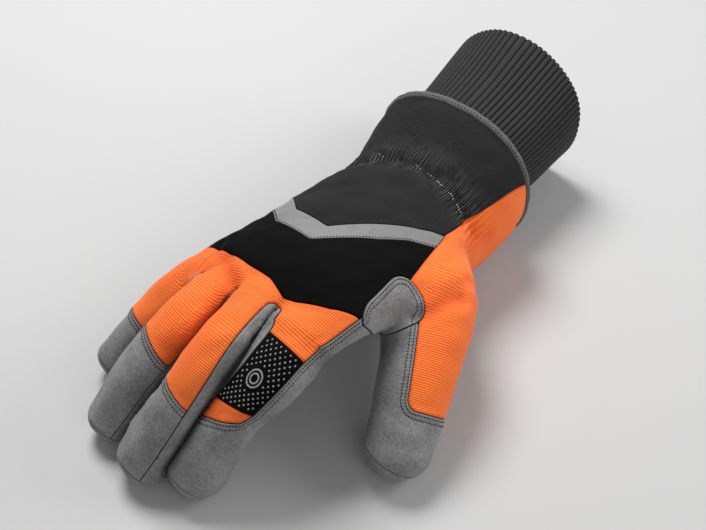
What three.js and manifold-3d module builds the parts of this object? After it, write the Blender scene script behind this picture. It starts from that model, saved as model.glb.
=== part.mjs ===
// Winter work glove for a right hand, filled out as if worn and lying palm down.
// Millimetres, +Z up: fingers point to -Y, the thumb to +X, the ribbed cuff to +Y.
import * as THREE from "three";
import { mergeVertices } from "three/addons/utils/BufferGeometryUtils.js";
import Module from "manifold-3d";

const wasm = await Module();
wasm.setup();

// Driving dimensions
const WALL = 2.2;
const SEAM_GAP = 0.3;
const HAND_SQUARENESS = 2.2;
const FINGER_SQUARENESS = 2.4;
const CUFF_RIBS = 50;
const RIB_DEPTH = 1.2;
const CUFF_WALL = 2.4;
const BINDING_PROUD = 0.9;
const BINDING_INSIDE = 0.7;
const BINDING_BACK = 101.5;
const BINDING_FRONT = 94.5;
const FABRIC_BACK = BINDING_FRONT - SEAM_GAP;
const CUFF_TUCK_Y = 64;
const CUFF_TUCK_GAP = 2;
const WRIST_SEAM_Y = 62;
const KNUCKLE_DOME = 9;
const THUMB_REFERENCE = new THREE.Vector3(0.8, 0.6, 0);
const FINGER_REFERENCE = new THREE.Vector3(1, 0, 0);

// Cross-sections along each limb: centre, half width, half height, and the turn about Y in degrees
const CUFF_ROWS = [
  { x: 3, y: 168, z: 42.1, wide: 42, high: 42.5, turn: 0 },
  { x: 4, y: 135, z: 40, wide: 39.5, high: 39.5, turn: 0 },
  { x: 5, y: 100, z: 40.9, wide: 37, high: 36.6, turn: 0 },
  { x: 6, y: 82, z: 39.8, wide: 36.5, high: 35, turn: 0 },
];
const HAND_ROWS = [
  { x: 6, y: 100, z: 42.2, wide: 47, high: 43, turn: 0 },
  { x: 7.5, y: 85, z: 41.5, wide: 47, high: 41.5, turn: 0 },
  { x: 9, y: 55, z: 39, wide: 44, high: 35.5, turn: 1 },
  { x: 8, y: 28, z: 46, wide: 46, high: 33, turn: 2 },
  { x: 7, y: -10, z: 59, wide: 46.5, high: 27, turn: 6 },
  { x: 4, y: -42, z: 67, wide: 47, high: 22, turn: 7 },
  { x: 2, y: -62, z: 66.5, wide: 43.5, high: 14, turn: 7 },
];
const FINGER_ROWS = {
  index: [
    { x: 29, y: -38, z: 69, wide: 11, high: 12, turn: 0 },
    { x: 26.7, y: -72.4, z: 63.7, wide: 16.1, high: 15.3, turn: 0 },
    { x: 17.3, y: -100.5, z: 42, wide: 13.2, high: 14, turn: 0 },
    { x: 9.2, y: -120.4, z: 13, wide: 14.4, high: 14.3, turn: 0 },
  ],
  middle: [
    { x: 4.5, y: -42, z: 70, wide: 9, high: 11, turn: 0 },
    { x: 0.8, y: -82, z: 66, wide: 12.6, high: 15.5, turn: 0 },
    { x: -5.5, y: -109.6, z: 42.3, wide: 13, high: 14.7, turn: 0 },
    { x: -15.3, y: -129.7, z: 12.3, wide: 14, high: 12.9, turn: 0 },
  ],
  ring: [
    { x: -18, y: -38, z: 66, wide: 9, high: 11, turn: 0 },
    { x: -25.5, y: -76, z: 61, wide: 12.2, high: 15, turn: 0 },
    { x: -35.5, y: -103.7, z: 38.4, wide: 12.9, high: 14.6, turn: 0 },
    { x: -44.1, y: -121, z: 12.1, wide: 12.6, high: 12.9, turn: 0 },
  ],
  pinky: [
    { x: -29, y: -28, z: 60, wide: 8, high: 9, turn: 0 },
    { x: -45.5, y: -55, z: 50, wide: 11.7, high: 14, turn: 0 },
    { x: -57.5, y: -77, z: 31, wide: 12, high: 13.5, turn: 0 },
    { x: -67.6, y: -91.8, z: 11.6, wide: 11.2, high: 11.9, turn: 0 },
  ],
};
const THUMB_ROWS = [
  { x: 33, y: 42, z: 40, wide: 12, high: 18, turn: 0 },
  { x: 53, y: 9, z: 46, wide: 23, high: 23, turn: 0 },
  { x: 69.5, y: -26, z: 34.5, wide: 19.3, high: 19.5, turn: 0 },
  { x: 79.3, y: -54, z: 15.5, wide: 17, high: 16.5, turn: 0 },
];
const TIP_LENGTH = { index: 13, middle: 13, ring: 12.5, pinky: 12, thumb: 16 };

// Seams that cross the back of the hand, seen from above, from the thumb side to the little finger side
const STRIPE_UPPER_EDGE = [
  { x: 70, y: 52 }, { x: 38.5, y: 26 }, { x: 18, y: 4.3 }, { x: 4, y: -10.8 },
  { x: -18.5, y: -6.7 }, { x: -60, y: 34 },
];
const STRIPE_LOWER_EDGE = [
  { x: 70, y: 44 }, { x: 36.8, y: 11.6 }, { x: 28, y: -0.4 }, { x: 3.6, y: -23.5 },
  { x: -21.6, y: -19.4 }, { x: -60, y: 18 },
];
const KNUCKLE_EDGE = [
  { x: 70, y: -36 }, { x: 46.5, y: -43.7 }, { x: 35.8, y: -50.2 }, { x: 20.5, y: -56.1 },
  { x: 14.1, y: -56.9 }, { x: 3.6, y: -52.7 }, { x: -10.5, y: -51.1 }, { x: -30.8, y: -47.5 },
  { x: -60, y: -40 },
];

// Smooth run of sections through a table, with its own side and up directions at every place
function makeLimb(rows, { reference = null, tip = 0, squareness }) {
  const places = new THREE.CatmullRomCurve3(
    rows.map((row) => new THREE.Vector3(row.x, row.y, row.z)), false, "catmullrom", 0.5);
  const sizes = new THREE.CatmullRomCurve3(
    rows.map((row) => new THREE.Vector3(row.wide, row.high, row.turn)), false, "catmullrom", 0.5);
  const length = places.getLength();

  function frameAt(t) {
    const origin = places.getPoint(t);
    const size = sizes.getPoint(t);
    const turn = THREE.MathUtils.degToRad(size.z);
    if (reference === null) {
      const along = new THREE.Vector3(0, -1, 0);
      const side = new THREE.Vector3(Math.cos(turn), 0, Math.sin(turn));
      const up = new THREE.Vector3().crossVectors(along, side);
      return { origin, along, side, up, wide: size.x, high: size.y };
    }
    const along = places.getTangent(t);
    const side = reference.clone().addScaledVector(along, -reference.dot(along)).normalize();
    const up = new THREE.Vector3().crossVectors(along, side);
    return { origin, along, side, up, wide: size.x, high: size.y };
  }

  function parameterAtY(y) {
    let low = 0;
    let high = 1;
    for (let step = 0; step < 30; step += 1) {
      const middle = (low + high) / 2;
      if (places.getPoint(middle).y > y) low = middle;
      else high = middle;
    }
    return low;
  }

  return { frameAt, parameterAtY, length, tip, squareness, meanSize: rows[1].wide };
}

function toSolid(geometry) {
  geometry.deleteAttribute("normal");
  geometry.deleteAttribute("uv");
  const merged = mergeVertices(geometry, 1e-4);
  return new wasm.Manifold(new wasm.Mesh({
    numProp: 3,
    vertProperties: new Float32Array(merged.attributes.position.array),
    triVerts: new Uint32Array(merged.index.array),
  }));
}

// Moves every vertex of a three.js geometry to the place that a function gives
function warp(geometry, placeOf) {
  const position = geometry.attributes.position;
  for (let i = 0; i < position.count; i += 1) {
    const place = placeOf(position.getX(i), position.getY(i), position.getZ(i));
    position.setXYZ(i, place.x, place.y, place.z);
  }
  return toSolid(geometry);
}

function squared(value, radius, squareness) {
  if (radius === 0) return 0;
  return Math.sign(value) * radius * Math.abs(value / radius) ** (2 / squareness);
}

// Closed skin of a limb: a capped cylinder laid through its sections, with a domed tip
function makeSkin(limb, { inset = 0, sides, rings, lead = 0, domeRings = 3, domeTurn = 78 }) {
  const stations = [];
  if (lead > 0) stations.push({ t: 0, forward: -lead, shrink: 1 });
  for (let ring = 0; ring <= rings; ring += 1) stations.push({ t: ring / rings, forward: 0, shrink: 1 });
  if (limb.tip > 0) {
    for (let ring = 1; ring <= domeRings; ring += 1) {
      const turn = THREE.MathUtils.degToRad((domeTurn * ring) / domeRings);
      stations.push({ t: 1, forward: (limb.tip - inset) * Math.sin(turn), shrink: Math.cos(turn) });
    }
  }
  const last = stations.length - 1;
  return warp(new THREE.CylinderGeometry(1, 1, 1, sides, last), (x, y, z) => {
    const station = stations[Math.round((0.5 - y) * last)];
    const frame = limb.frameAt(station.t);
    const radius = Math.hypot(x, z);
    const across = squared(x, radius, limb.squareness) * (frame.wide - inset) * station.shrink;
    const above = squared(z, radius, limb.squareness) * (frame.high - inset) * station.shrink;
    return frame.origin.clone()
      .addScaledVector(frame.along, station.forward)
      .addScaledVector(frame.side, across)
      .addScaledVector(frame.up, above);
  });
}

// Wedge round a limb's centre line, between two angles (0 is the side, 90 the back of the hand).
// It is grown by a distance where a neighbour has to keep the seam gap to it.
function makeWedge(limb, rows, { reach = 90, grow = 0, beyond = 0, steps = 1 } = {}) {
  const INNER_RADIUS = 1.5;
  const WEDGE_SEGMENT = 70;
  const growAngle = THREE.MathUtils.radToDeg(grow / limb.meanSize);
  const growT = grow / limb.length;
  const spans = (rows.length - 1) * steps;
  const widest = Math.max(...rows.map((row) => row.to - row.from));
  const around = Math.max(2, Math.ceil(widest / WEDGE_SEGMENT));
  return warp(new THREE.BoxGeometry(1, 1, 1, around, 1, spans), (x, y, z) => {
    const place = (0.5 - z) * (rows.length - 1);
    const index = Math.min(Math.floor(place + 1e-6), rows.length - 2);
    const mix = place - index;
    const first = rows[index];
    const second = rows[index + 1];
    const from = THREE.MathUtils.lerp(first.from, second.from, mix) - growAngle;
    const to = THREE.MathUtils.lerp(first.to, second.to, mix) + growAngle;
    let t = THREE.MathUtils.lerp(first.t, second.t, mix);
    if (z > 0.499) t -= growT;
    if (z < -0.499) t += growT;
    const frame = limb.frameAt(THREE.MathUtils.clamp(t, 0, 1));
    const forward = z < -0.499 && beyond > 0 ? beyond : 0;
    const angle = THREE.MathUtils.degToRad(THREE.MathUtils.lerp(from, to, x + 0.5));
    const radius = y > 0 ? reach : INNER_RADIUS - grow;
    return frame.origin.clone()
      .addScaledVector(frame.along, forward)
      .addScaledVector(frame.side, Math.cos(angle) * radius)
      .addScaledVector(frame.up, Math.sin(angle) * radius);
  });
}

// Block from the first Y to the second, wide enough to cut the whole glove
function makeSlab(fromY, toY) {
  const WIDE = 400;
  const block = new THREE.BoxGeometry(WIDE, Math.abs(toY - fromY), WIDE);
  block.translate(0, (fromY + toY) / 2, 0);
  return toSolid(block);
}

function makeBelow(z) {
  const WIDE = 600;
  const block = new THREE.BoxGeometry(WIDE, WIDE, WIDE);
  block.translate(0, 0, z - WIDE / 2);
  return toSolid(block);
}

// Everything on the finger side of a seam that crosses the hand, moved back by a distance
function makeFingerSide(edge, backwards = 0) {
  const FAR_Y = -200;
  const HEIGHT = 200;
  const shape = new THREE.Shape();
  shape.moveTo(edge[0].x, FAR_Y);
  edge.forEach((point) => shape.lineTo(point.x, point.y + backwards));
  shape.lineTo(edge[edge.length - 1].x, FAR_Y);
  shape.closePath();
  return toSolid(new THREE.ExtrudeGeometry(shape, { depth: HEIGHT, bevelEnabled: false }));
}

const hand = makeLimb(HAND_ROWS, { tip: KNUCKLE_DOME, squareness: HAND_SQUARENESS });
const thumb = makeLimb(THUMB_ROWS, {
  reference: THUMB_REFERENCE, tip: TIP_LENGTH.thumb, squareness: HAND_SQUARENESS,
});
const fingers = {};
for (const [name, rows] of Object.entries(FINGER_ROWS)) {
  fingers[name] = makeLimb(rows, {
    reference: FINGER_REFERENCE, tip: TIP_LENGTH[name], squareness: FINGER_SQUARENESS,
  });
}

// The whole fabric wall, open at the back, flat where it rests
const HAND_MESH = { sides: 24, rings: 7, domeRings: 2, domeTurn: 64 };
const FINGER_MESH = { sides: 11, rings: 4, domeRings: 2, domeTurn: 66 };
const THUMB_MESH = { sides: 14, rings: 5, domeRings: 2, domeTurn: 66 };
const INNER_HAND_MESH = { sides: 12, rings: 7, domeRings: 1, domeTurn: 45 };
const INNER_FINGER_MESH = { sides: 6, rings: 4, domeRings: 1, domeTurn: 45 };
const INNER_THUMB_MESH = { sides: 8, rings: 5, domeRings: 1, domeTurn: 45 };

const handSkin = makeSkin(hand, HAND_MESH);
let outer = handSkin.add(makeSkin(thumb, THUMB_MESH));
let inner = makeSkin(hand, { ...INNER_HAND_MESH, inset: WALL, lead: 20 })
  .add(makeSkin(thumb, { ...INNER_THUMB_MESH, inset: WALL }));
for (const finger of Object.values(fingers)) {
  outer = outer.add(makeSkin(finger, FINGER_MESH));
  inner = inner.add(makeSkin(finger, { ...INNER_FINGER_MESH, inset: WALL }));
}
const fabric = outer.subtract(makeBelow(0))
  .subtract(inner.subtract(makeBelow(WALL)))
  .subtract(makeSlab(FABRIC_BACK, 200));

const cuffTuck = hand.frameAt(hand.parameterAtY(CUFF_TUCK_Y));
CUFF_ROWS.push({
  x: cuffTuck.origin.x, y: CUFF_TUCK_Y, z: cuffTuck.origin.z,
  wide: cuffTuck.wide - WALL - CUFF_TUCK_GAP, high: cuffTuck.high - WALL - CUFF_TUCK_GAP, turn: 0,
});
const cuff = makeLimb(CUFF_ROWS, { squareness: HAND_SQUARENESS });

// Tube of knitted ribs: every rib is a valley and a flat crest
function makeRibbedCuff() {
  const POINTS_PER_RIB = 3;
  const RINGS = 3;
  const sides = CUFF_RIBS * POINTS_PER_RIB;
  const ribbed = warp(new THREE.CylinderGeometry(1, 1, 1, sides, RINGS), (x, y, z) => {
    const t = 0.5 - y;
    const frame = cuff.frameAt(t);
    const radius = Math.hypot(x, z);
    const point = Math.round((Math.atan2(x, z) / (2 * Math.PI)) * sides + sides) % POINTS_PER_RIB;
    const lift = point === 0 ? -RIB_DEPTH : 0;
    return frame.origin.clone()
      .addScaledVector(frame.side, squared(x, radius, cuff.squareness) * (frame.wide + lift))
      .addScaledVector(frame.up, squared(z, radius, cuff.squareness) * (frame.high + lift));
  });
  const hollow = makeSkin(cuff, { inset: CUFF_WALL, sides: 20, rings: 3, lead: 10 })
    .add(makeSkin(makeLimb(CUFF_ROWS.slice(-2).map((row) => ({ ...row, y: row.y - 12 })), {
      squareness: HAND_SQUARENESS }), { inset: CUFF_WALL, sides: 20, rings: 1 }));
  return ribbed.subtract(makeBelow(0)).subtract(hollow.subtract(makeBelow(CUFF_WALL)));
}

// Tape folded over the raw edge at the back of the fabric
function makeBinding() {
  const wrapped = makeSkin(hand, { ...HAND_MESH, inset: -BINDING_PROUD, lead: 4 });
  const hollow = makeSkin(hand, { ...INNER_HAND_MESH, inset: WALL + BINDING_INSIDE, lead: 20 });
  const ring = wrapped.subtract(makeBelow(0)).subtract(hollow.subtract(makeBelow(WALL + BINDING_INSIDE)));
  return ring.intersect(makeSlab(BINDING_FRONT, BINDING_BACK));
}

// Angles of the side seams round the hand, and the seams along each finger
const BACK_SECTOR = [
  { y: 100, from: 15, to: 197 }, { y: 75, from: 26, to: 197 }, { y: 54, from: 32, to: 197 },
  { y: 33, from: 31, to: 197 }, { y: 9, from: 21, to: 196 }, { y: -6, from: 14, to: 195 },
  { y: -40, from: 9, to: 192 }, { y: -61, from: 8, to: 190 },
];
const THUMB_SIDE_SECTOR = [
  { y: 100, from: -52, to: 15 }, { y: 75, from: -50, to: 26 }, { y: 54, from: -45, to: 32 },
  { y: 33, from: -40, to: 31 }, { y: 9, from: -35, to: 21 }, { y: -6, from: -30, to: 14 },
  { y: -14, from: -28, to: 12 },
];
const INDEX_ROOT_SECTOR = [
  { y: -20, from: -30, to: 12 }, { y: -40, from: -32, to: 9 }, { y: -61, from: -34, to: 8 },
];
const THUMB_BACK_SECTOR = [
  { t: 0.05, from: -62, to: 112 }, { t: 0.5, from: -62, to: 100 }, { t: 0.82, from: -58, to: 96 },
];
const INDEX_SIDE_SECTOR = [
  { t: 0.1, from: -55, to: 20 }, { t: 0.21, from: -55, to: 30 }, { t: 0.32, from: -55, to: 38 },
  { t: 0.56, from: -55, to: 40 }, { t: 0.62, from: -55, to: 50 }, { t: 0.665, from: -55, to: 78 },
  { t: 0.715, from: -55, to: 130 }, { t: 0.78, from: -55, to: 190 },
];
const PATCH_SECTOR = [{ t: 0.305, from: 34, to: 128 }, { t: 0.67, from: 34, to: 128 }];
const PATCH_END = { t: 0.595, lean: -0.31 };
const INDEX_BACK_TIP_SECTOR = [{ t: 0.53, from: 34, to: 130 }, { t: 0.72, from: 34, to: 130 }];
const TOWARDS_THUMB_SIDE = {
  middle: [{ t: 0.12, from: -38, to: 64 }, { t: 0.45, from: -38, to: 54 }, { t: 0.96, from: -34, to: 52 }],
  ring: [{ t: 0.12, from: -38, to: 38 }, { t: 0.6, from: -38, to: 38 }, { t: 0.96, from: -34, to: 46 }],
  pinky: [{ t: 0.25, from: -38, to: 64 }, { t: 0.65, from: -38, to: 58 }, { t: 0.96, from: -34, to: 50 }],
};
const TOWARDS_LITTLE_SIDE = {
  index: [
    { t: 0.12, from: 127, to: 218 }, { t: 0.45, from: 119, to: 218 }, { t: 0.72, from: 127, to: 218 },
    { t: 0.96, from: 126, to: 214 },
  ],
  middle: [{ t: 0.12, from: 140, to: 218 }, { t: 0.6, from: 142, to: 218 }, { t: 0.96, from: 142, to: 214 }],
  ring: [{ t: 0.12, from: 140, to: 218 }, { t: 0.6, from: 142, to: 218 }, { t: 0.96, from: 142, to: 214 }],
};

// Slots with round ends where two fingers meet, seen from above
const CROTCHES = {
  index_middle: { start: { x: 13.9, y: -64 }, end: { x: 13.5, y: -77 }, radius: 3.5, low: 49, high: 84 },
  middle_ring: { start: { x: -10.5, y: -62 }, end: { x: -11.8, y: -76 }, radius: 2.2, low: 47, high: 84 },
  ring_pinky: { start: { x: -35.5, y: -50 }, end: { x: -38, y: -62 }, radius: 2.2, low: 39, high: 76 },
};

// Each fingertip cap starts at a plane that leans by a share of the distance towards the thumb side
const CAP_START = {
  index: { t: 0.74, lean: 0 }, middle: { t: 0.607, lean: 0.23 }, ring: { t: 0.512, lean: 0.3 },
  pinky: { t: 0.655, lean: 0 },
};
const FINGER_BACK_SECTOR = {
  index: [{ t: 0, from: 20, to: 132 }, { t: 0.6, from: 32, to: 132 }],
  middle: [{ t: 0, from: 40, to: 150 }, { t: 0.66, from: 40, to: 150 }],
  ring: [{ t: 0, from: 30, to: 150 }, { t: 0.6, from: 30, to: 150 }],
  pinky: [{ t: 0, from: 40, to: 205 }, { t: 0.68, from: 40, to: 212 }],
};
const SADDLE = { x: 53.5, y: -25, z: 71.6, length: 39, width: 24, corner: 11, through: 36 };

// Wedges of one limb are kept to that limb's own skin, off its neighbours
const ZONE_MARGIN = 0.25;

function makeHandWedge(rows, options) {
  const alongHand = rows.map(({ y, from, to }) => ({ t: hand.parameterAtY(y), from, to }));
  return makeWedge(hand, alongHand, options)
    .intersect(makeSkin(hand, { ...HAND_MESH, inset: -ZONE_MARGIN, lead: 5 }));
}

function makeFingerWedge(name, rows, options) {
  const zone = makeSkin(fingers[name], { ...FINGER_MESH, inset: -ZONE_MARGIN });
  return makeWedge(fingers[name], rows, { reach: 40, steps: 2, ...options }).intersect(zone);
}

// Everything of one finger past a plane that leans across it
function makePast(name, { t, lean }, grow) {
  const REACH = 60;
  const frame = fingers[name].frameAt(t);
  const along = frame.along.clone().addScaledVector(frame.side, -lean).normalize();
  const side = frame.side.clone().addScaledVector(frame.along, lean).normalize();
  const block = new THREE.BoxGeometry(REACH, REACH, REACH);
  block.translate(0, 0, REACH / 2 - grow);
  const turn = new THREE.Matrix4().makeBasis(side, frame.up, along);
  turn.setPosition(frame.origin);
  block.applyMatrix4(turn);
  return toSolid(block);
}

function makeFingertip(name, grow) {
  return makePast(name, CAP_START[name], grow)
    .intersect(makeSkin(fingers[name], { ...FINGER_MESH, inset: -ZONE_MARGIN }));
}

function makeSlot({ start, end, radius, low, high }, grow) {
  const reach = radius + grow;
  const heading = Math.atan2(end.y - start.y, end.x - start.x);
  const quarter = Math.PI / 2;
  const outline = new THREE.Shape();
  outline.absarc(start.x, start.y, reach, heading + quarter, heading + 3 * quarter, false);
  outline.absarc(end.x, end.y, reach, heading - quarter, heading + quarter, false);
  const slot = new THREE.ExtrudeGeometry(outline, {
    depth: high - low, bevelEnabled: false, curveSegments: 3,
  });
  slot.translate(0, 0, low);
  return toSolid(slot);
}

function makeFourchette(thumbWards, littleWards, grow) {
  return makeSlot(CROTCHES[`${thumbWards}_${littleWards}`], grow)
    .add(makeFingerWedge(thumbWards, TOWARDS_LITTLE_SIDE[thumbWards], { grow }))
    .add(makeFingerWedge(littleWards, TOWARDS_THUMB_SIDE[littleWards], { grow }));
}

// Rounded stamp pressed through the wall at the web between thumb and index
function makeSaddleStamp(grow) {
  const halfLength = SADDLE.length / 2 + grow;
  const halfWidth = SADDLE.width / 2 + grow;
  const corner = SADDLE.corner + grow;
  const outline = new THREE.Shape();
  outline.moveTo(-halfLength, -halfWidth + corner);
  outline.absarc(-halfLength + corner, halfWidth - corner, corner, Math.PI, Math.PI / 2, true);
  outline.absarc(halfLength - corner, halfWidth - corner, corner, Math.PI / 2, 0, true);
  outline.absarc(halfLength - corner, -halfWidth + corner, corner, 0, -Math.PI / 2, true);
  outline.absarc(-halfLength + corner, -halfWidth + corner, corner, -Math.PI / 2, -Math.PI, true);
  const stamp = new THREE.ExtrudeGeometry(outline, {
    depth: SADDLE.through, bevelEnabled: false, curveSegments: 5,
  });
  const lengthwise = new THREE.Vector3(0.1, 0.99, 0).normalize();
  const outward = new THREE.Vector3(0.75, -0.08, 0.66).normalize();
  const across = new THREE.Vector3().crossVectors(outward, lengthwise).normalize();
  const turn = new THREE.Matrix4().makeBasis(lengthwise, across, outward);
  turn.setPosition(SADDLE.x, SADDLE.y, SADDLE.z);
  stamp.translate(0, 0, -SADDLE.through / 2);
  stamp.applyMatrix4(turn);
  return toSolid(stamp);
}

// Cutters of the panels in the order in which they are taken out of the wall
const PANELS = [
  ["thumb_saddle", (grow) => makeSaddleStamp(grow)],
  ["fourchette_index_middle", (grow) => makeFourchette("index", "middle", grow)],
  ["fourchette_middle_ring", (grow) => makeFourchette("middle", "ring", grow)],
  ["fourchette_ring_pinky", (grow) => makeFourchette("ring", "pinky", grow)],
  ["index_side_and_tip", (grow) => makeFingerWedge("index", INDEX_SIDE_SECTOR, { grow, steps: 1 })
    .add(makeFingertip("index", grow))
    .add(makeHandWedge(INDEX_ROOT_SECTOR, { grow, beyond: 10 }))],
  ["touch_patch", (grow) => makeFingerWedge("index", PATCH_SECTOR, { grow })
    .subtract(makePast("index", PATCH_END, -grow))],
  ["index_back_tip", (grow) => makeFingerWedge("index", INDEX_BACK_TIP_SECTOR, { grow })],
  ["tip_cap_middle", (grow) => makeFingertip("middle", grow)],
  ["tip_cap_ring", (grow) => makeFingertip("ring", grow)],
  ["tip_cap_pinky", (grow) => makeFingertip("pinky", grow)],
  ["thumb_back_panel", (grow) => makeWedge(thumb, THUMB_BACK_SECTOR, { grow, reach: 40, steps: 2 })
    .intersect(makeSkin(thumb, { ...THUMB_MESH, inset: -ZONE_MARGIN }))
    .add(makeHandWedge(THUMB_SIDE_SECTOR, { grow }))],
  ["thumb_front", (grow) => makeSkin(thumb, { ...THUMB_MESH, inset: -ZONE_MARGIN - grow })
    .subtract(makeSkin(hand, { ...HAND_MESH, inset: grow }))],
  ["finger_back_panel", (grow) => {
    let backs = makeHandWedge(BACK_SECTOR, { grow, beyond: 20 });
    for (const [name, rows] of Object.entries(FINGER_BACK_SECTOR)) {
      backs = backs.add(makeFingerWedge(name, rows, { grow }));
    }
    return backs.intersect(makeFingerSide(KNUCKLE_EDGE, grow));
  }],
  ["black_panel", (grow) => makeHandWedge(BACK_SECTOR, { grow })
    .intersect(makeFingerSide(STRIPE_LOWER_EDGE, grow))],
  ["reflective_stripe", (grow) => makeHandWedge(BACK_SECTOR, { grow })
    .intersect(makeFingerSide(STRIPE_UPPER_EDGE, grow))],
  ["back_knit", (grow) => makeHandWedge(BACK_SECTOR, { grow })],
  ["wrist_underside", (grow) => makeSlab(WRIST_SEAM_Y - grow, 200)],
];

const LOOKS = {
  orange: { color: 0xf26a2a, roughness: 0.8, metalness: 0 },
  suede: { color: 0x6f6f6f, roughness: 0.95, metalness: 0 },
  charcoal: { color: 0x3a3a3c, roughness: 0.85, metalness: 0 },
  black: { color: 0x161616, roughness: 0.9, metalness: 0 },
  reflective: { color: 0xa8a8a8, roughness: 0.5, metalness: 0.1 },
  rib: { color: 0x4b4b4d, roughness: 0.9, metalness: 0 },
  tape: { color: 0x6a6a6a, roughness: 0.8, metalness: 0 },
};
const LOOK_OF = {
  rib_cuff: "rib", hem_binding: "tape", thumb_saddle: "suede", fourchette_index_middle: "suede",
  fourchette_middle_ring: "suede", fourchette_ring_pinky: "suede", index_side_and_tip: "suede",
  touch_patch: "black", index_back_tip: "orange", tip_cap_middle: "suede", tip_cap_ring: "suede",
  tip_cap_pinky: "suede", thumb_back_panel: "orange", thumb_front: "suede", finger_back_panel: "orange",
  black_panel: "black", reflective_stripe: "reflective", back_knit: "charcoal",
  wrist_underside: "charcoal", palm_suede: "suede",
};

const glove = new THREE.Group();

// A panel is its largest body: crumbs that a cut leaves at a seam are dropped
function addNode(name, solid) {
  const bodies = solid.decompose();
  bodies.sort((a, b) => b.volume() - a.volume());
  const mesh = bodies[0].getMesh();
  const geometry = new THREE.BufferGeometry();
  geometry.setAttribute("position", new THREE.BufferAttribute(mesh.vertProperties, 3));
  geometry.setIndex(new THREE.BufferAttribute(mesh.triVerts, 1));
  const node = new THREE.Mesh(geometry, new THREE.MeshStandardMaterial(LOOKS[LOOK_OF[name]]));
  node.name = name;
  glove.add(node);
}

addNode("rib_cuff", makeRibbedCuff());
addNode("hem_binding", makeBinding());
let rest = fabric;
for (const [name, makeCutter] of PANELS) {
  addNode(name, rest.intersect(makeCutter(0)));
  rest = rest.subtract(makeCutter(SEAM_GAP));
}
addNode("palm_suede", rest);

// The middle of the glove's box stands over the origin
const box = new THREE.Box3().setFromObject(glove);
const middle = box.getCenter(new THREE.Vector3());
for (const node of glove.children) node.geometry.translate(-middle.x, -middle.y, 0);

export default glove;
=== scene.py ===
# %% [markdown]
# # A winter work glove, dressed in Blender
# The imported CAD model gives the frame. This lesson lays a fine skin over it, cuts the skin
# into sewn panels, and gives each panel its padding, stitches and cloth.

# %% Load the fixed frame
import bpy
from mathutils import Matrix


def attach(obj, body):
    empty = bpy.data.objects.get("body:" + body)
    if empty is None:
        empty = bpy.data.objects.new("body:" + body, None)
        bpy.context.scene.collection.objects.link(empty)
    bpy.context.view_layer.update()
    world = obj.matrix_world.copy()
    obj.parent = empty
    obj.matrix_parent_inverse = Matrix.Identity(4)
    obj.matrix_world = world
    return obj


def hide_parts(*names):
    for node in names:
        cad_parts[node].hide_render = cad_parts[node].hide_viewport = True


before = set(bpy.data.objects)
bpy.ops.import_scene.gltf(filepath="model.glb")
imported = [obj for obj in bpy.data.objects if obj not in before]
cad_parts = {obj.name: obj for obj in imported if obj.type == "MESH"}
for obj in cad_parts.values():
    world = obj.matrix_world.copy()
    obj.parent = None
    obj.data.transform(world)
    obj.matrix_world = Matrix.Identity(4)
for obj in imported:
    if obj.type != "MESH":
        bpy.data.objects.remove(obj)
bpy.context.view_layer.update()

import math

import bpy
import numpy as np
from mathutils import Vector
from mathutils.kdtree import KDTree

print("CAD nodes:", ", ".join(sorted(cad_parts)))

# %% [markdown]
# ## 1. The hand's sizes
# All tables are in millimetres in the glove's own drawing frame, as in the CAD source. Rows run
# from the wrist to the tip: centre, half width and half height, and for the hand and the cuff a
# turn about Y in degrees.

# %% Tables of sections
MM = 0.001
GLOVE_MIDDLE = np.array([8.4802, 12.7543, 0.0])
HAND_ROWS = [
    (6, 100, 42.2, 47, 43, 0), (7.5, 85, 41.5, 47, 41.5, 0), (9, 55, 39, 44, 35.5, 1),
    (8, 28, 46, 46, 33, 2), (7, -10, 59, 46.5, 27, 6), (4, -42, 67, 47, 22, 7),
    (2, -62, 66.5, 43.5, 14, 7)]
INDEX_ROWS = [
    (29, -38, 69, 11, 12), (26.7, -72.4, 63.7, 16.1, 15.3), (17.3, -100.5, 42, 13.2, 14),
    (9.2, -120.4, 13, 14.4, 14.3)]
MIDDLE_ROWS = [
    (4.5, -42, 70, 9, 11), (0.8, -82, 66, 12.6, 15.5), (-5.5, -109.6, 42.3, 13, 14.7),
    (-15.3, -129.7, 12.3, 14, 12.9)]
RING_ROWS = [
    (-18, -38, 66, 9, 11), (-25.5, -76, 61, 12.2, 15), (-35.5, -103.7, 38.4, 12.9, 14.6),
    (-44.1, -121, 12.1, 12.6, 12.9)]
PINKY_ROWS = [
    (-29, -28, 60, 8, 9), (-45.5, -55, 50, 11.7, 14), (-57.5, -77, 31, 12, 13.5),
    (-67.6, -91.8, 11.6, 11.2, 11.9)]
THUMB_ROWS = [
    (33, 42, 40, 12, 18), (53, 9, 46, 23, 23), (69.5, -26, 34.5, 19.3, 19.5),
    (79.3, -54, 15.5, 17, 16.5)]
CUFF_ROWS = [
    (3, 168, 42.1, 42, 42.5, 0), (4, 135, 40, 39.5, 39.5, 0), (5, 100, 40.9, 37, 36.6, 0),
    (6, 82, 39.8, 36.5, 35, 0), (8.9, 64, 38.9, 40.6, 32.3, 0)]
print("the hand runs from y =", HAND_ROWS[0][1], "to", HAND_ROWS[-1][1])


# %% Curves through a table
def catmull_rom(rows, t):
    """Smooth values of a table of rows at each t from 0, its first row, to 1, its last."""
    spans = len(rows) - 1
    padded = np.vstack([2 * rows[0] - rows[1], rows, 2 * rows[-1] - rows[-2]])
    place = np.clip(t, 0, 1) * spans
    index = np.minimum(place.astype(int), spans - 1)
    u = (place - index)[:, None]
    before, start, end, after = (padded[index + k] for k in range(4))
    return 0.5 * (
        2 * start
        + (end - before) * u
        + (2 * before - 5 * start + 4 * end - after) * u**2
        + (3 * start - before - 3 * end + after) * u**3
    )


def unit(vectors):
    return np.divide(vectors, np.linalg.norm(vectors, axis=-1, keepdims=True))


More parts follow.
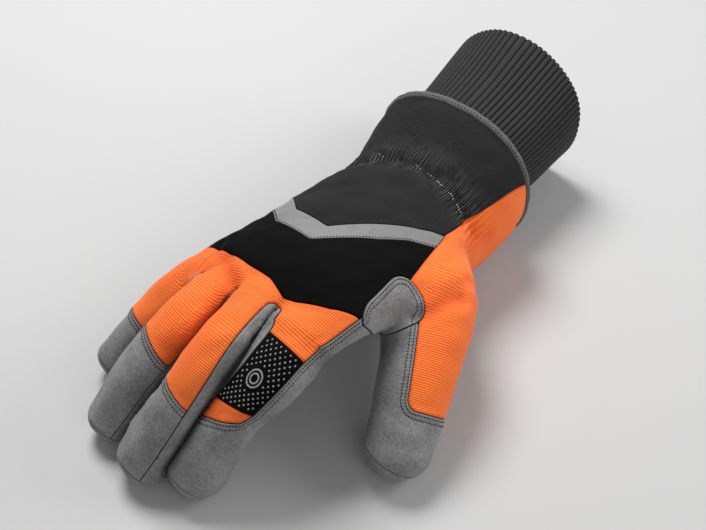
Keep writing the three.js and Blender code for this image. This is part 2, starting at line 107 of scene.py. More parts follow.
def arc_lengths(line):
    """How far along a line of points each point lies."""
    steps = np.linalg.norm(np.diff(line, axis=0), axis=1)
    return np.concatenate([[0], np.cumsum(steps)])


def squared(angle, squareness):
    """The across and above of a circle with squared-off corners."""
    power = 2 / squareness
    return [np.sign(part) * np.abs(part) ** power for part in (np.cos(angle), np.sin(angle))]


# %% Limbs are tubes through the tables
LIMB_STEPS, COARSE_STEP = 121, 4
LOOK_AHEAD = 1e-3
LEAST_REACH = 1e-6


class Limb:
    """A squared tube through a table of sections, with a rounded tip."""

    def __init__(self, rows, squareness, tip=0.0, reference=None):
        self.rows = np.array(rows, float)
        self.squareness = squareness
        self.tip = tip
        self.reference = reference
        self.t = np.linspace(0, 1, LIMB_STEPS)
        self.places = catmull_rom(self.rows[:, :3], self.t)
        self.length = arc_lengths(self.places)[-1]

    def t_at(self, y):
        """Where a limb that runs straight towards the fingertips passes y."""
        return np.interp(-y, -self.places[:, 1], self.t)

    def frames(self, t):
        """The centre, the directions along, across and up, and the half sizes at each t."""
        origin = catmull_rom(self.rows[:, :3], t)
        size = catmull_rom(self.rows[:, 3:], t)
        if self.reference is None:
            turn = np.radians(size[:, 2])
            along = np.tile([0.0, -1.0, 0.0], (len(t), 1))
            side = np.stack([np.cos(turn), 0 * turn, np.sin(turn)], 1)
        else:
            ahead, behind = (
                catmull_rom(self.rows[:, :3], np.clip(t + step, 0, 1))
                for step in (LOOK_AHEAD, -LOOK_AHEAD))
            along = unit(ahead - behind)
            lean = along @ self.reference
            side = unit(self.reference - lean[:, None] * along)
        return origin, along, side, np.cross(along, side), size[:, 0], size[:, 1]

    def nearest_t(self, points):
        if self.reference is None:
            return self.t_at(points[:, 1])
        coarse = self.places[::COARSE_STEP]
        gaps = ((points[:, None, :] - coarse[None]) ** 2).sum(2)
        t = self.t[::COARSE_STEP][gaps.argmin(1)]
        for _ in range(2):
            origin, along = self.frames(t)[:2]
            t = np.clip(t + ((points - origin) * along).sum(1) / self.length, 0, 1)
        return t

    def locate(self, points):
        """The t and the frame of the limb nearest to each point."""
        t = self.nearest_t(points)
        return (t, *self.frames(t))

    def measure(self, points, found):
        """Where points lie on the limb: t, angle in degrees, distance from its axis and its skin."""
        t, origin, along, side, up, wide, high = found
        offset = points - origin
        across, above, forward = ((offset * way).sum(1) for way in (side, up, along))
        p = self.squareness
        ring = (np.abs(across / wide) ** p + np.abs(above / high) ** p) ** (1 / p)
        end = np.where(forward > 0, forward / max(self.tip, 1), forward / wide)
        if self.reference is None:
            end = np.where((forward > 0) & (t >= 1), end, 0)
        reach = np.maximum(np.hypot(ring, end), LEAST_REACH)
        radius = np.hypot(across, above)
        size = np.where(end == 0, radius, np.hypot(radius, forward))
        return t, np.degrees(np.arctan2(above, across)), radius, size * (1 - 1 / reach)


# %% The hand, its thumb and its fingers
HAND_SQUARENESS, FINGER_SQUARENESS = 2.2, 2.4
FINGER_REFERENCE = np.array([1.0, 0.0, 0.0])
THUMB_REFERENCE = np.array([0.8, 0.6, 0.0])
FINGERS = {
    "index": (INDEX_ROWS, 13), "middle": (MIDDLE_ROWS, 13), "ring": (RING_ROWS, 12.5),
    "pinky": (PINKY_ROWS, 12)}
LIMBS = {
    "hand": Limb(HAND_ROWS, HAND_SQUARENESS, tip=9),
    "thumb": Limb(THUMB_ROWS, HAND_SQUARENESS, tip=16, reference=THUMB_REFERENCE),
}
for name, (rows, tip) in FINGERS.items():
    LIMBS[name] = Limb(rows, FINGER_SQUARENESS, tip, FINGER_REFERENCE)
print("limbs:", {name: round(limb.length) for name, limb in LIMBS.items()}, "mm long")

# %% [markdown]
# ## 2. One smooth skin
# Each limb is a closed tube. A voxel remesh joins them, and every point is then moved onto a
# smooth blend of the limbs' own surfaces.

# %% A tube for each limb
SHRINK = 0.9
DOME = math.radians(84)


def tube(limb, inset, sides=48, rings=70, dome_rings=8):
    """Vertices and faces of a limb's closed skin, a little inside its true size."""
    t = np.concatenate([np.linspace(0, 1, rings), np.ones(dome_rings)])
    turn = np.concatenate([np.zeros(rings), np.linspace(0, DOME, dome_rings + 1)[1:]])
    origin, along, side, up, wide, high = limb.frames(t)
    across, above = squared(np.linspace(0, 2 * math.pi, sides, endpoint=False), limb.squareness)
    points = (
        origin[:, None]
        + along[:, None] * ((limb.tip - inset) * np.sin(turn))[:, None, None]
        + side[:, None] * (((wide - inset) * np.cos(turn))[:, None] * across)[..., None]
        + up[:, None] * (((high - inset) * np.cos(turn))[:, None] * above)[..., None]
    ).reshape(-1, 3)
    faces = []
    for ring in range(len(t) - 1):
        for k in range(sides):
            a, b = ring * sides + k, ring * sides + (k + 1) % sides
            faces.append((a, b, b + sides, a + sides))
    last = (len(t) - 1) * sides
    faces += [tuple(range(sides - 1, -1, -1)), tuple(range(last, last + sides))]
    return points, faces


tubes = [tube(limb, SHRINK) for limb in LIMBS.values()]
print("tubes:", len(tubes), "with", sum(len(points) for points, _ in tubes), "points")


# %% Meshes in drawing millimetres
def add_object(name, content):
    """An object in the scene that shows a mesh, a lamp or a camera."""
    made = bpy.data.objects.new(name, content)
    bpy.context.scene.collection.objects.link(made)
    return made


def new_object(name, points, faces):
    """A mesh object from points in drawing millimetres."""
    mesh = bpy.data.meshes.new(name)
    mesh.from_pydata(((points - GLOVE_MIDDLE) * MM).tolist(), [], faces)
    return add_object(name, mesh)


def read(items, key, width, kind=np.float32):
    """Numbers that every item of a mesh holds, a row for each item."""
    flat = np.empty(len(items) * width, kind)
    items.foreach_get(key, flat)
    return flat.reshape(-1, width)


def mesh_points(mesh):
    return read(mesh.vertices, "co", 3).astype(float) / MM + GLOVE_MIDDLE


def plain_mesh(made):
    """The mesh that an object's modifiers make of it."""
    graph = bpy.context.evaluated_depsgraph_get()
    return bpy.data.meshes.new_from_object(made.evaluated_get(graph))


def join_tubes(voxel):
    """One closed mesh round all the limbs' tubes."""
    starts = np.cumsum([0] + [len(points) for points, _ in tubes])
    faces = [
        tuple(int(k + start) for k in face) for start, (_, part) in zip(starts, tubes) for face in part]
    skin = new_object("skin", np.vstack([points for points, _ in tubes]), faces)
    remesh = skin.modifiers.new("join", "REMESH")
    remesh.mode = "VOXEL"
    remesh.voxel_size = voxel * MM
    joined = plain_mesh(skin)
    bpy.data.objects.remove(skin)
    return joined


VOXEL = 1.2
joined = join_tubes(VOXEL)
points = mesh_points(joined)
joined.calc_loop_triangles()
triangles = read(joined.loop_triangles, "vertices", 3, np.int32)
print("skin:", len(points), "points,", len(triangles), "triangles")

# %% The limbs' surfaces, blended
BLEND = 3.2
FAR = 50.0
FELT_WITHIN = 12
SLOPE_STEP = 0.05


def find_places(points):
    """For each limb, which points are close enough to feel it, and where on it they lie."""
    places = {}
    for name, limb in LIMBS.items():
        margin = limb.rows[:, 3:5].max() + FELT_WITHIN
        low, high = limb.places.min(0) - margin, limb.places.max(0) + margin
        close = ((points > low) & (points < high)).all(1)
        places[name] = (close, limb.locate(points[close]))
    return places


def blended_distance(points, places):
    """Distance from the glove's skin: fingers meet in a crease, and blend into the hand."""
    levels = {}
    for name, (close, found) in places.items():
        levels[name] = np.full(len(points), FAR)
        levels[name][close] = LIMBS[name].measure(points[close], found)[3]
    digits = np.minimum.reduce([levels[name] for name in FINGERS])
    parts = [levels["hand"], digits, levels["thumb"]]
    lowest = np.minimum.reduce(parts)
    return lowest - BLEND * np.log(sum(np.exp((lowest - level) / BLEND) for level in parts))


def distance_and_slope(points, places):
    """The distance from the blended skin, and how it grows along each axis."""
    here = blended_distance(points, places)
    ahead = [blended_distance(points + SLOPE_STEP * axis, places) for axis in np.eye(3)]
    return here, np.stack([(there - here) / SLOPE_STEP for there in ahead], 1)


# %% Every point settles on the blended skin
FABRIC_BACK = 98
SETTLING_ROUNDS, FLATTEST, LONGEST_MOVE = 3, 0.25, 1.5
for _ in range(SETTLING_ROUNDS):
    here, slope = distance_and_slope(points, find_places(points))
    move = slope * (here / np.maximum((slope**2).sum(1), FLATTEST))[:, None]
    points = points - move / np.maximum(np.linalg.norm(move, axis=1) / LONGEST_MOVE, 1)[:, None]
places = find_places(points)
here, slope = distance_and_slope(points, places)
normals = unit(slope)
left = np.abs(here)[points[:, 1] < FABRIC_BACK]
print("left to settle:", left.max().round(3), "mm at most,", np.percentile(left, 99).round(3), "mm mostly")

# %% [markdown]
# ## 3. Seams
# A work glove is cut flat from several cloths and sewn. A seam could be drawn by hand on the
# skin, but here each panel is the part of the skin where a seam function is above zero, in
# millimetres from its edge, so the panels fit each other and the CAD parts exactly.

# %% Seam tables for the hand
# A sector's rows give its two edges as angles round the limb. An edge across the back is a list
# of points in x and y.
def along_hand(*rows):
    """Rows of y and two angles, with each y turned into the hand's t."""
    return [(float(LIMBS["hand"].t_at(y)), low, high) for y, low, high in rows]


BACK_SECTOR = along_hand(
    (100, 15, 197), (75, 26, 197), (54, 32, 197), (33, 31, 197), (9, 21, 196), (-6, 14, 195),
    (-40, 9, 192), (-61, 7, 190))
THUMB_SIDE_SECTOR = along_hand(
    (100, -52, 15), (75, -50, 26), (54, -45, 32), (33, -40, 31), (9, -35, 21), (-6, -30, 14),
    (-14, -28, 12))
INDEX_ROOT_SECTOR = along_hand((-20, -30, 12), (-40, -32, 9), (-61, -34, 7))
STRIPE_UPPER_EDGE = [(70, 52), (38.5, 26), (18, 4.3), (4, -10.8), (-18.5, -6.7), (-60, 34)]
STRIPE_LOWER_EDGE = [(70, 44), (36.8, 11.6), (28, -0.4), (3.6, -23.5), (-21.6, -19.4), (-60, 18)]
KNUCKLE_EDGE = [
    (70, -36), (46.5, -43.7), (35.8, -50.2), (20.5, -56.1), (14.1, -56.9), (3.6, -52.7),
    (-10.5, -51.1), (-30.8, -47.5), (-60, -40)]
SADDLE_MIDDLE, SADDLE_HALF, SADDLE_CORNER = (53.5, -25, 71.6), (19.5, 12), 11
SADDLE_OUTWARD, SADDLE_LENGTHWISE, SADDLE_DEPTH = (0.75, -0.08, 0.66), (0.1, 0.99, 0), 18
SADDLE_SLANT, SADDLE_SLANT_WAY = (48.9, -43.7, 77.7), (0, 0.89, 0.457)
WRIST_SEAM_Y = 62
print("rows of the back's edge:", len(BACK_SECTOR))

# %% Seam tables for the fingers and thumb
# A sector's rows start with t, the share of the limb's length. A crotch has the two ends of its
# slot in x and y, its radius, and the heights between which it is cut.
THUMB_BACK_SECTOR = [(0.05, -62, 112), (0.5, -62, 100), (0.82, -58, 96)]
THUMB_BACK_CORNER = 5
INDEX_SIDE_SECTOR = [
    (0.1, -55, 18), (0.21, -55, 29.5), (0.32, -55, 38), (0.56, -55, 40), (0.62, -55, 50),
    (0.665, -55, 78), (0.715, -55, 130), (0.78, -55, 190)]
PATCH_SECTOR, PATCH_END = [(0.305, 34, 128), (0.67, 34, 128)], (0.595, -0.31)
INDEX_BACK_TIP_SECTOR = [(0.53, 34, 130), (0.72, 34, 130)]
TOWARDS_THUMB_SIDE = {
    "middle": [(0.12, -38, 64), (0.45, -38, 54), (0.96, -34, 52)],
    "ring": [(0.12, -38, 16), (0.42, -38, 20), (0.6, -38, 37), (0.96, -34, 46)],
    "pinky": [(0.25, -38, 64), (0.65, -38, 58), (0.96, -34, 50)],
}
TOWARDS_LITTLE_SIDE = {
    "index": [(0.12, 127, 218), (0.45, 119, 218), (0.72, 127, 218), (0.96, 126, 214)],
    "middle": [(0.12, 164, 218), (0.42, 160, 218), (0.6, 143, 218), (0.96, 142, 214)],
    "ring": [(0.12, 140, 218), (0.6, 142, 218), (0.96, 142, 214)],
}
CROTCHES = {
    "index_middle": ((13.9, -64), (13.5, -77), 3.3, (49, 84)),
    "middle_ring": ((-10.5, -62), (-11.8, -76), 0.9, (47, 84)),
    "ring_pinky": ((-35.5, -50), (-38, -62), 0.9, (39, 76)),
}
FINGER_BACK_SECTOR = {
    "index": [(0, 20, 132), (0.6, 32, 132)],
    "middle": [(0, 40, 172), (0.66, 40, 172)],
    "ring": [(0, 8, 150), (0.6, 8, 150)],
    "pinky": [(0, 40, 205), (0.68, 40, 212)],
}
CAP_START = {"index": (0.74, 0), "middle": (0.607, 0.23), "ring": (0.512, 0.3), "pinky": (0.655, 0)}
CAP_TOP_SECTOR = {"index": (-55, 134), "middle": (45, 150), "ring": (38, 150), "pinky": (42, 212)}
CAP_SECTOR_BEFORE = 0.3
TIP_SEAM_BEYOND = 4.5
THUMB_TIP_SEAM, THUMB_TIP_SLOPE = (70.9, -67.9, 21.8), (0.233, 0.5, 0.834)
print("caps start at:", {name: start for name, (start, _) in CAP_START.items()})

# %% Where every point of the skin lies
# A chart's columns are t, the angle, and the distances from the limb's axis and from its skin.
NOT_ON_LIMB = [0, 0, 1, 60.0]
charts = {}
for name, (close, found) in places.items():
    chart = np.full((len(points), 4), NOT_ON_LIMB)
    chart[close] = np.stack(LIMBS[name].measure(points[close], found), 1)
    chart[:, 1] = (chart[:, 1] + 90) % 360 - 90
    charts[name] = chart
levels = {name: chart[:, 3] for name, chart in charts.items()}
owned = {}
for name in LIMBS:
    others = np.minimum.reduce([levels[other] for other in LIMBS if other != name])
    owned[name] = (others - levels[name]) / 2
print("charted", len(points), "points on", len(charts), "limbs")


# %% Shapes of panels on one limb
def rounded(first, second, corner):
    """The smaller of two distances, with the corner where both are small rounded off."""
    turn = corner - np.hypot(corner - first, corner - second)
    return np.where((first < corner) & (second < corner), turn, np.minimum(first, second))


def wedge(name, rows, open_end=False, corner=0.0):
    """Part of one limb between two angles that run along it."""
    t, angle, radius, _ = charts[name].T
    table = np.array(rows, float)
    low, high = (np.interp(t, table[:, 0], table[:, k]) for k in (1, 2))
    turned = (angle - (low + high) / 2 + 180) % 360 - 180
    inside = np.radians((high - low) / 2 - np.abs(turned)) * radius
    length = LIMBS[name].length
    inside = np.minimum(inside, (t - table[0, 0]) * length)
    if not open_end:
        inside = rounded(inside, (table[-1, 0] - t) * length, corner)
    return np.minimum(inside, owned[name])


def past(name, t, lean):
    """Distance past a plane that crosses a finger and leans towards its thumb side."""
    origin, along, side = LIMBS[name].frames(np.array([t]))[:3]
    return (points - origin[0]) @ unit(along[0] - lean * side[0])


def short_of_tip(name):
    """Distance short of the seam that turns round the end of a fingertip."""
    return TIP_SEAM_BEYOND - past(name, 1.0, 0)


def fingertip(name):
    return np.minimum(past(name, *CAP_START[name]), owned[name])


def cap_top(name):
    """The cap on the back of a fingertip, as far as its tip seam."""
    low, high = CAP_TOP_SECTOR[name]
    sector = [(CAP_START[name][0] - CAP_SECTOR_BEFORE, low, high), (1, low, high)]
    return np.minimum.reduce([fingertip(name), wedge(name, sector, open_end=True), short_of_tip(name)])


# %% Shapes of panels that cross limbs
JOIN_WIDTH = 1.5
ACROSS_SLANT = 0.8


def joined_shapes(first, second):
    """The larger of two distances, with the notch between the two shapes filled."""
    return JOIN_WIDTH * np.logaddexp(first / JOIN_WIDTH, second / JOIN_WIDTH)


def line_distance(where, line):
    """Distance from points to a line through some corners."""
    line = np.array(line, float)
    best = np.full(len(where), np.inf)
    for start, end in zip(line[:-1], line[1:]):
        step = end - start
        share = np.clip((where - start) @ step / (step @ step), 0, 1)
        best = np.minimum(best, np.linalg.norm(where - start - share[:, None] * step, axis=1))
    return best


def crotch(pair):
    """A slot with round ends where two fingers meet, seen from above."""
    start, end, radius, (low, high) = CROTCHES[pair]
    gap = line_distance(points[:, :2], [start, end])
    return np.minimum.reduce([radius - gap, points[:, 2] - low, high - points[:, 2]])


def finger_side(edge):
    """The finger side of a seam that crosses the back."""
    table = np.array(edge[::-1], float)
    line = np.interp(points[:, 0], table[:, 0], table[:, 1])
    return (line - points[:, 1]) * ACROSS_SLANT


def saddle():
    """A rectangle with round corners, laid over the web of the thumb and cut at a slant."""
    outward, lengthwise = unit(SADDLE_OUTWARD), unit(SADDLE_LENGTHWISE)
    across = unit(np.cross(outward, lengthwise))
    offset = points - SADDLE_MIDDLE
    flat = np.stack([offset @ lengthwise, offset @ across], 1)
    over = np.abs(flat) - np.subtract(SADDLE_HALF, SADDLE_CORNER)
    edge = SADDLE_CORNER - np.linalg.norm(np.maximum(over, 0), axis=1) - np.minimum(over.max(1), 0)
    slant = (points - SADDLE_SLANT) @ unit(SADDLE_SLANT_WAY)
    return np.minimum.reduce([edge, slant, SADDLE_DEPTH - np.abs(offset @ outward)])


def fourchette(pair):
    """The strip between two fingers, which runs to both tip seams."""
    thumbwards, littlewards = pair.split("_")
    first = wedge(thumbwards, TOWARDS_LITTLE_SIDE[thumbwards], open_end=True)
    second = wedge(littlewards, TOWARDS_THUMB_SIDE[littlewards], open_end=True)
    return np.maximum.reduce([
        crotch(pair),
        np.minimum(first, short_of_tip(thumbwards)),
        np.minimum(second, short_of_tip(littlewards)),
    ])


# %% Name every panel, in the order in which they are cut out
# An underside's line lies this far inside its fingertip's, clear of the points already cut there.
UNDER_STEP = 0.01
back = wedge("hand", BACK_SECTOR, open_end=True)
finger_backs = np.maximum.reduce(
    [back] + [wedge(name, rows) for name, rows in FINGER_BACK_SECTOR.items()])
strips = {pair: fourchette(pair) for pair in CROTCHES}
index_side = joined_shapes(
    wedge("index", INDEX_SIDE_SECTOR), wedge("hand", INDEX_ROOT_SECTOR, open_end=True))
thumb_back = joined_shapes(
    wedge("thumb", THUMB_BACK_SECTOR, corner=THUMB_BACK_CORNER), wedge("hand", THUMB_SIDE_SECTOR))
thumb_tip_under = -(points - THUMB_TIP_SEAM) @ unit(THUMB_TIP_SLOPE)
SEAMS = {"thumb_saddle": saddle()}
for pair, strip in strips.items():
    SEAMS["fourchette_" + pair] = strip
SEAMS["index_side_and_tip_under"] = np.minimum(fingertip("index"), -cap_top("index")) - UNDER_STEP
SEAMS["index_side_and_tip"] = np.maximum(cap_top("index"), index_side)
SEAMS["touch_patch"] = np.minimum(wedge("index", PATCH_SECTOR), -past("index", *PATCH_END))
SEAMS["index_back_tip"] = wedge("index", INDEX_BACK_TIP_SECTOR)
for name in ("middle", "ring", "pinky"):
    SEAMS[f"tip_cap_{name}"] = cap_top(name)
    SEAMS[f"tip_cap_{name}_under"] = fingertip(name) - UNDER_STEP
SEAMS["thumb_back_panel"] = thumb_back
SEAMS["thumb_front_under"] = np.minimum(owned["thumb"], thumb_tip_under)
SEAMS["thumb_front"] = owned["thumb"]
SEAMS["finger_back_panel"] = np.minimum(finger_backs, finger_side(KNUCKLE_EDGE))
SEAMS["black_panel"] = np.minimum(back, finger_side(STRIPE_LOWER_EDGE))
SEAMS["reflective_stripe"] = np.minimum(back, finger_side(STRIPE_UPPER_EDGE))
SEAMS["back_knit"] = back
SEAMS["wrist_underside"] = points[:, 1] - WRIST_SEAM_Y
print("seams:", len(SEAMS))

# %% Cut triangles along a line
ON_THE_LINE = 2e-3
OFF_A_CORNER = 1e-4


def mixed_triangles(faces, above):
    """Triangles that a line crosses, turned so that the lone corner is first."""
    count = above[faces].sum(1)
    mixed = faces[(count == 1) | (count == 2)]
    lone_is_above = above[mixed].sum(1) == 1
    lone = (above[mixed] == lone_is_above[:, None]).argmax(1)
    turned = np.stack([mixed[np.arange(len(mixed)), (lone + k) % 3] for k in range(3)], 1)
    edges = np.sort(np.concatenate([turned[:, [0, 1]], turned[:, [0, 2]]]), 1)
    edges, crossings = np.unique(edges, axis=0, return_inverse=True)
    return turned, lone_is_above, edges, crossings.reshape(2, -1)


def cut(data, faces, value):
    """Cuts triangles where value is zero; cut points are added to data. Returns both sides."""
    clear_above, clear_below = value[faces] > ON_THE_LINE, value[faces] < -ON_THE_LINE
    wholly_low = ~clear_above.any(1)
    wholly_high = ~clear_below.any(1) & ~wholly_low
    crossing = faces[~wholly_low & ~wholly_high]
    value = np.where(np.abs(value) < OFF_A_CORNER, OFF_A_CORNER, value)
    turned, lone_is_above, edges, crossings = mixed_triangles(crossing, value > 0)
    first, second = value[edges[:, 0]], value[edges[:, 1]]
    share = (first / (first - second))[:, None]
    added = data[edges[:, 0]] * (1 - share) + data[edges[:, 1]] * share
    near_side, far_side = crossings + len(data)
    tip = np.stack([turned[:, 0], near_side, far_side], 1)
    base = np.concatenate([
        np.stack([near_side, turned[:, 1], turned[:, 2]], 1),
        np.stack([near_side, turned[:, 2], far_side], 1)])
    twice = np.concatenate([lone_is_above, lone_is_above])
    high = np.concatenate([faces[wholly_high], tip[lone_is_above], base[~twice]])
    low = np.concatenate([faces[wholly_low], tip[~lone_is_above], base[twice]])
    return np.vstack([data, added]), high, low


# %% [markdown]
# ## 4. Folds and gathers
# Worn cloth sinks beside the knuckles, folds at the thumb's root and bunches up where elastic is
# sewn across the wrist. These are sculpted first, as one number for each point of the skin, so
# that a fold runs on unbroken from one panel into the next.

# %% Folds
# Each fold has a depth, a width and the points of its line.
FOLDS = [
    (2.6, 4.6, [(60, -15, 62), (64.9, -8.1, 64.7), (68, 1.3, 65.2), (71, 8, 62)]),
    (1.1, 3.5, [(60, -2, 66), (66, 9, 66), (67, 20, 60)]),
    (1.3, 2.6, [(14, -64, 80), (15.2, -59.5, 83)]),
    (2.2, 3.8, [(-11.5, -66, 74), (-12.4, -61, 78.8), (-19, -56.6, 79.4), (-25.7, -50, 79.9)]),
    (2.0, 3.6, [(-31, -60, 74), (-28, -53.6, 77.9), (-34.1, -49, 75.9), (-38, -42, 74)]),
    (3.5, 6.0, [(46.5, -58, 60), (48.5, -45, 60), (47.5, -32, 46)]),
    (1.0, 5.5, [(-30, 8, 74), (-10, 20, 79), (14, 44, 76)]),
    (0.9, 5.0, [(36, 22, 72), (20, 34, 76), (4, 38, 76)]),
    (0.8, 5.5, [(46, 30, 62), (52, 44, 52), (50, 62, 46)]),
    (0.9, 6.0, [(-36, -10, 78), (-16, -36, 83), (4, -42, 86)]),
]


def bell(distance, width):
    """One on a line, falling softly to nothing beside it."""
    return np.exp(-((distance / width) ** 2))


form = np.zeros(len(points))
for depth, width, line in FOLDS:
    form -= depth * bell(line_distance(points, line), width)
print("folds:", len(FOLDS), "deepest", form.min().round(1), "mm")

# %% Creases inside the bends of the fingers
BENDS, BEND_DEPTH, BEND_WIDTH = (0.36, 0.66), 1.3, 2.0
PULL_REACH = 2.5
pull = {name: np.exp(-np.maximum(levels[name], 0) / PULL_REACH) for name in LIMBS}
total_pull = sum(pull.values())
for name in FINGERS:
    t, angle = charts[name][:, 0], charts[name][:, 1]
    palm_side = np.clip(-np.sin(np.radians(angle)), 0, 1) * pull[name] / total_pull
    for bend in BENDS:
        form -= BEND_DEPTH * palm_side * bell((t - bend) * LIMBS[name].length, BEND_WIDTH)
print("bends:", len(FINGERS) * len(BENDS))

# %% Slots between the fingers, with painted shadow in them
# Each slot has a depth and the width of the painted shadow along its slit.
SLOTS = {"index_middle": (2.4, 0.6), "middle_ring": (2.2, 1.3), "ring_pinky": (1.6, 1.3)}
SLOT_WIDTH, SLOT_RIM, SLOT_HANDOVER = 0.75, 1.2, 5
CREASE_WIDTH, CREASE_FROM_HAND = 1.5, 4
ELSEWHERE = 99.0
slot_depth, slit_shade = np.zeros(len(points)), np.zeros(len(points))
between_fingers = np.full(len(points), ELSEWHERE)
for pair, (depth, slit_shade_width) in SLOTS.items():
    thumbwards, littlewards = pair.split("_")
    start, end = np.array(CROTCHES[pair][0]), np.array(CROTCHES[pair][1])
    way, offset = unit(end - start), points[:, :2] - start
    past_crotch = offset @ way - np.linalg.norm(end - start)
    share = np.clip(past_crotch / SLOT_HANDOVER, 0, 1)
    across = offset[:, 0] * way[1] - offset[:, 1] * way[0]
    between = share * (levels[thumbwards] - levels[littlewards]) / 2 + (1 - share) * across
    rim = np.clip(strips[pair] / SLOT_RIM, 0, 1)
    slot_depth += depth * rim * bell(between, SLOT_WIDTH)
    slit_shade += rim * bell(between, slit_shade_width)
    close = strips[pair] > -3 * VOXEL
    between_fingers[close] = between[close]
form -= slot_depth
# Painted shade also falls along the crease where two fingers meet, beside the slits' painted shadow.
second_finger = np.sort([levels[name] for name in FINGERS], axis=0)[1]
crease = np.clip(levels["hand"] / CREASE_FROM_HAND, 0, 1) * bell(second_finger / 2, CREASE_WIDTH)
slit_shade = np.maximum(slit_shade, crease)
print("slots:", len(SLOTS), "deepest", slot_depth.max().round(1), "mm")

# %% Elastic across the wrist
ELASTIC = [
    (-32, 43, 56), (-22.7, 46, 66.2), (-7.5, 53.3, 72.4), (11.2, 58.1, 74.9), (25.6, 56.3, 72.8),
    (39.4, 52.9, 66.4), (49, 52, 55)]
ELASTIC_DEPTH, ELASTIC_WIDTH = 1.7, 3.2
GATHER_TO_CUFF, GATHER_TO_HAND = 12, 6.5
PUCKER_PITCH, PUCKER_DEPTH = 3.1, 0.8
WRIST_RADIUS = 41
WANDER, WANDER_ROUND, WANDER_ALONG = 1.1, 4.7, 8
elastic_line = np.array(ELASTIC, float)
elastic_gap = line_distance(points, ELASTIC)
towards_cuff = points[:, 1] > np.interp(points[:, 0], elastic_line[:, 0], elastic_line[:, 1])
gather = bell(elastic_gap, np.where(towards_cuff, GATHER_TO_CUFF, GATHER_TO_HAND))
round_wrist = np.radians(charts["hand"][:, 1]) * WRIST_RADIUS
wander = WANDER * np.sin(round_wrist / WANDER_ROUND + points[:, 1] / WANDER_ALONG)
pucker = np.sin(2 * math.pi * round_wrist / PUCKER_PITCH + wander)
form += PUCKER_DEPTH * pucker * gather - ELASTIC_DEPTH * bell(elastic_gap, ELASTIC_WIDTH)
print("gathers:", round(np.ptp(round_wrist[elastic_gap < ELASTIC_WIDTH]) / PUCKER_PITCH))

# %% How the weave runs: along each limb and round it
WEAVE_START = 0.3
along_cloth, round_cloth = 0, 0
for name, limb in LIMBS.items():
    t, angle = charts[name][:, 0], charts[name][:, 1]
    root = limb.frames(np.array([WEAVE_START]))[0][0]
    half_width = limb.rows[2, 3]
    distance_along = (t - WEAVE_START) * limb.length - root[1]
    if name == "hand":
        distance_along = -points[:, 1]
    along_cloth = along_cloth + pull[name] / total_pull * distance_along
    round_cloth = round_cloth - pull[name] / total_pull * np.radians(angle - 90) * half_width
print("cloth along the hand:", round(np.ptp(along_cloth)), "mm")

# %% Gather the numbers of each point, then cut
ROUND, ALONG, FORM, GATHER, SLIT_SHADE, BETWEEN, FIRST_SEAM = range(6, 13)
data = np.column_stack(
    [points, normals, round_cloth, along_cloth, form, gather, slit_shade, between_fingers, *SEAMS.values()])
data, kept, _ = cut(data, triangles, FABRIC_BACK - data[:, 1])
panels = {}
for k, name in enumerate(SEAMS):
    data, panels[name], kept = cut(data, kept, data[:, FIRST_SEAM + k])
panels["palm_suede"] = kept
for name, faces in panels.items():
    print(f"{name}: {len(faces)} triangles")

# %% [markdown]
# ## 5. Edges and stitch lines
# Each point is told how far it is from its panel's edge. Rows of points beside the edge let the
# cloth roll into its seam, and lines at the stitches' distances carry the thread.

# %% The nearest places
def kd_tree(places):
    tree = KDTree(len(places))
    for k, place in enumerate(places.tolist()):
        tree.insert(place, k)
    tree.balance()
    return tree


def nearest(places, where):
    """The number of the place nearest to each point."""
    tree = kd_tree(places)
    return np.array([tree.find(point)[1] for point in where.tolist()])


# %% Distance to the edges of panels
LEAST_LENGTH = 1e-12


def sides(faces):
    return np.stack([faces[:, [0, 1]], faces[:, [1, 2]], faces[:, [2, 0]]], 1)


def boundary(faces):
    """The edges that only one triangle of a sheet uses."""
    edges = np.concatenate([faces[:, [0, 1]], faces[:, [1, 2]], faces[:, [2, 0]]])
    _, first, count = np.unique(np.sort(edges, 1), axis=0, return_index=True, return_counts=True)
    return edges[first[count == 1]]


def edge_distance(where, edges):
    """Distance from points to the nearest of some edges, both in millimetres."""
    corners, inverse = np.unique(edges, return_inverse=True)
    beside = [[] for _ in corners]
    for k, (a, b) in enumerate(inverse.reshape(edges.shape).tolist()):
        beside[a].append(k)
        beside[b].append(k)
    two = np.array([(near * 2)[:2] for near in beside])[nearest(data[corners, :3], where)]
    best = np.full(len(where), np.inf)
    for k in range(2):
        a, b = data[edges[two[:, k], 0], :3], data[edges[two[:, k], 1], :3]
        along = b - a
        share = ((where - a) * along).sum(1) / np.maximum((along**2).sum(1), LEAST_LENGTH)
        foot = a + np.clip(share, 0, 1)[:, None] * along
        best = np.minimum(best, np.linalg.norm(where - foot, axis=1))
    return best


# %% Scraps go to the panel beside them
SMALLEST_SHEET = 80.0


def islands(faces):
    """A label for each triangle of a sheet, the same for all that are joined by edges."""
    edges = np.sort(sides(faces).reshape(-1, 2), 1)
    side = np.unique(edges, axis=0, return_inverse=True)[1].reshape(-1, 3)
    label = np.arange(side.max() + 1)
    while True:
        lowest = label[side].min(1)
        spread = label.copy()
        np.minimum.at(spread, side.ravel(), np.repeat(lowest, 3))
        spread = spread[spread]
        if (spread == label).all():
            return lowest
        label = spread


def edge_keys(faces):
    """One whole number for each edge of a sheet, the same whichever way it runs."""
    ordered = np.sort(boundary(faces), 1).astype(np.int64)
    return ordered[:, 0] * len(data) + ordered[:, 1]


def areas(faces):
    first, second, third = (data[faces[:, k], :3] for k in range(3))
    return np.linalg.norm(np.cross(second - first, third - first), axis=1) / 2


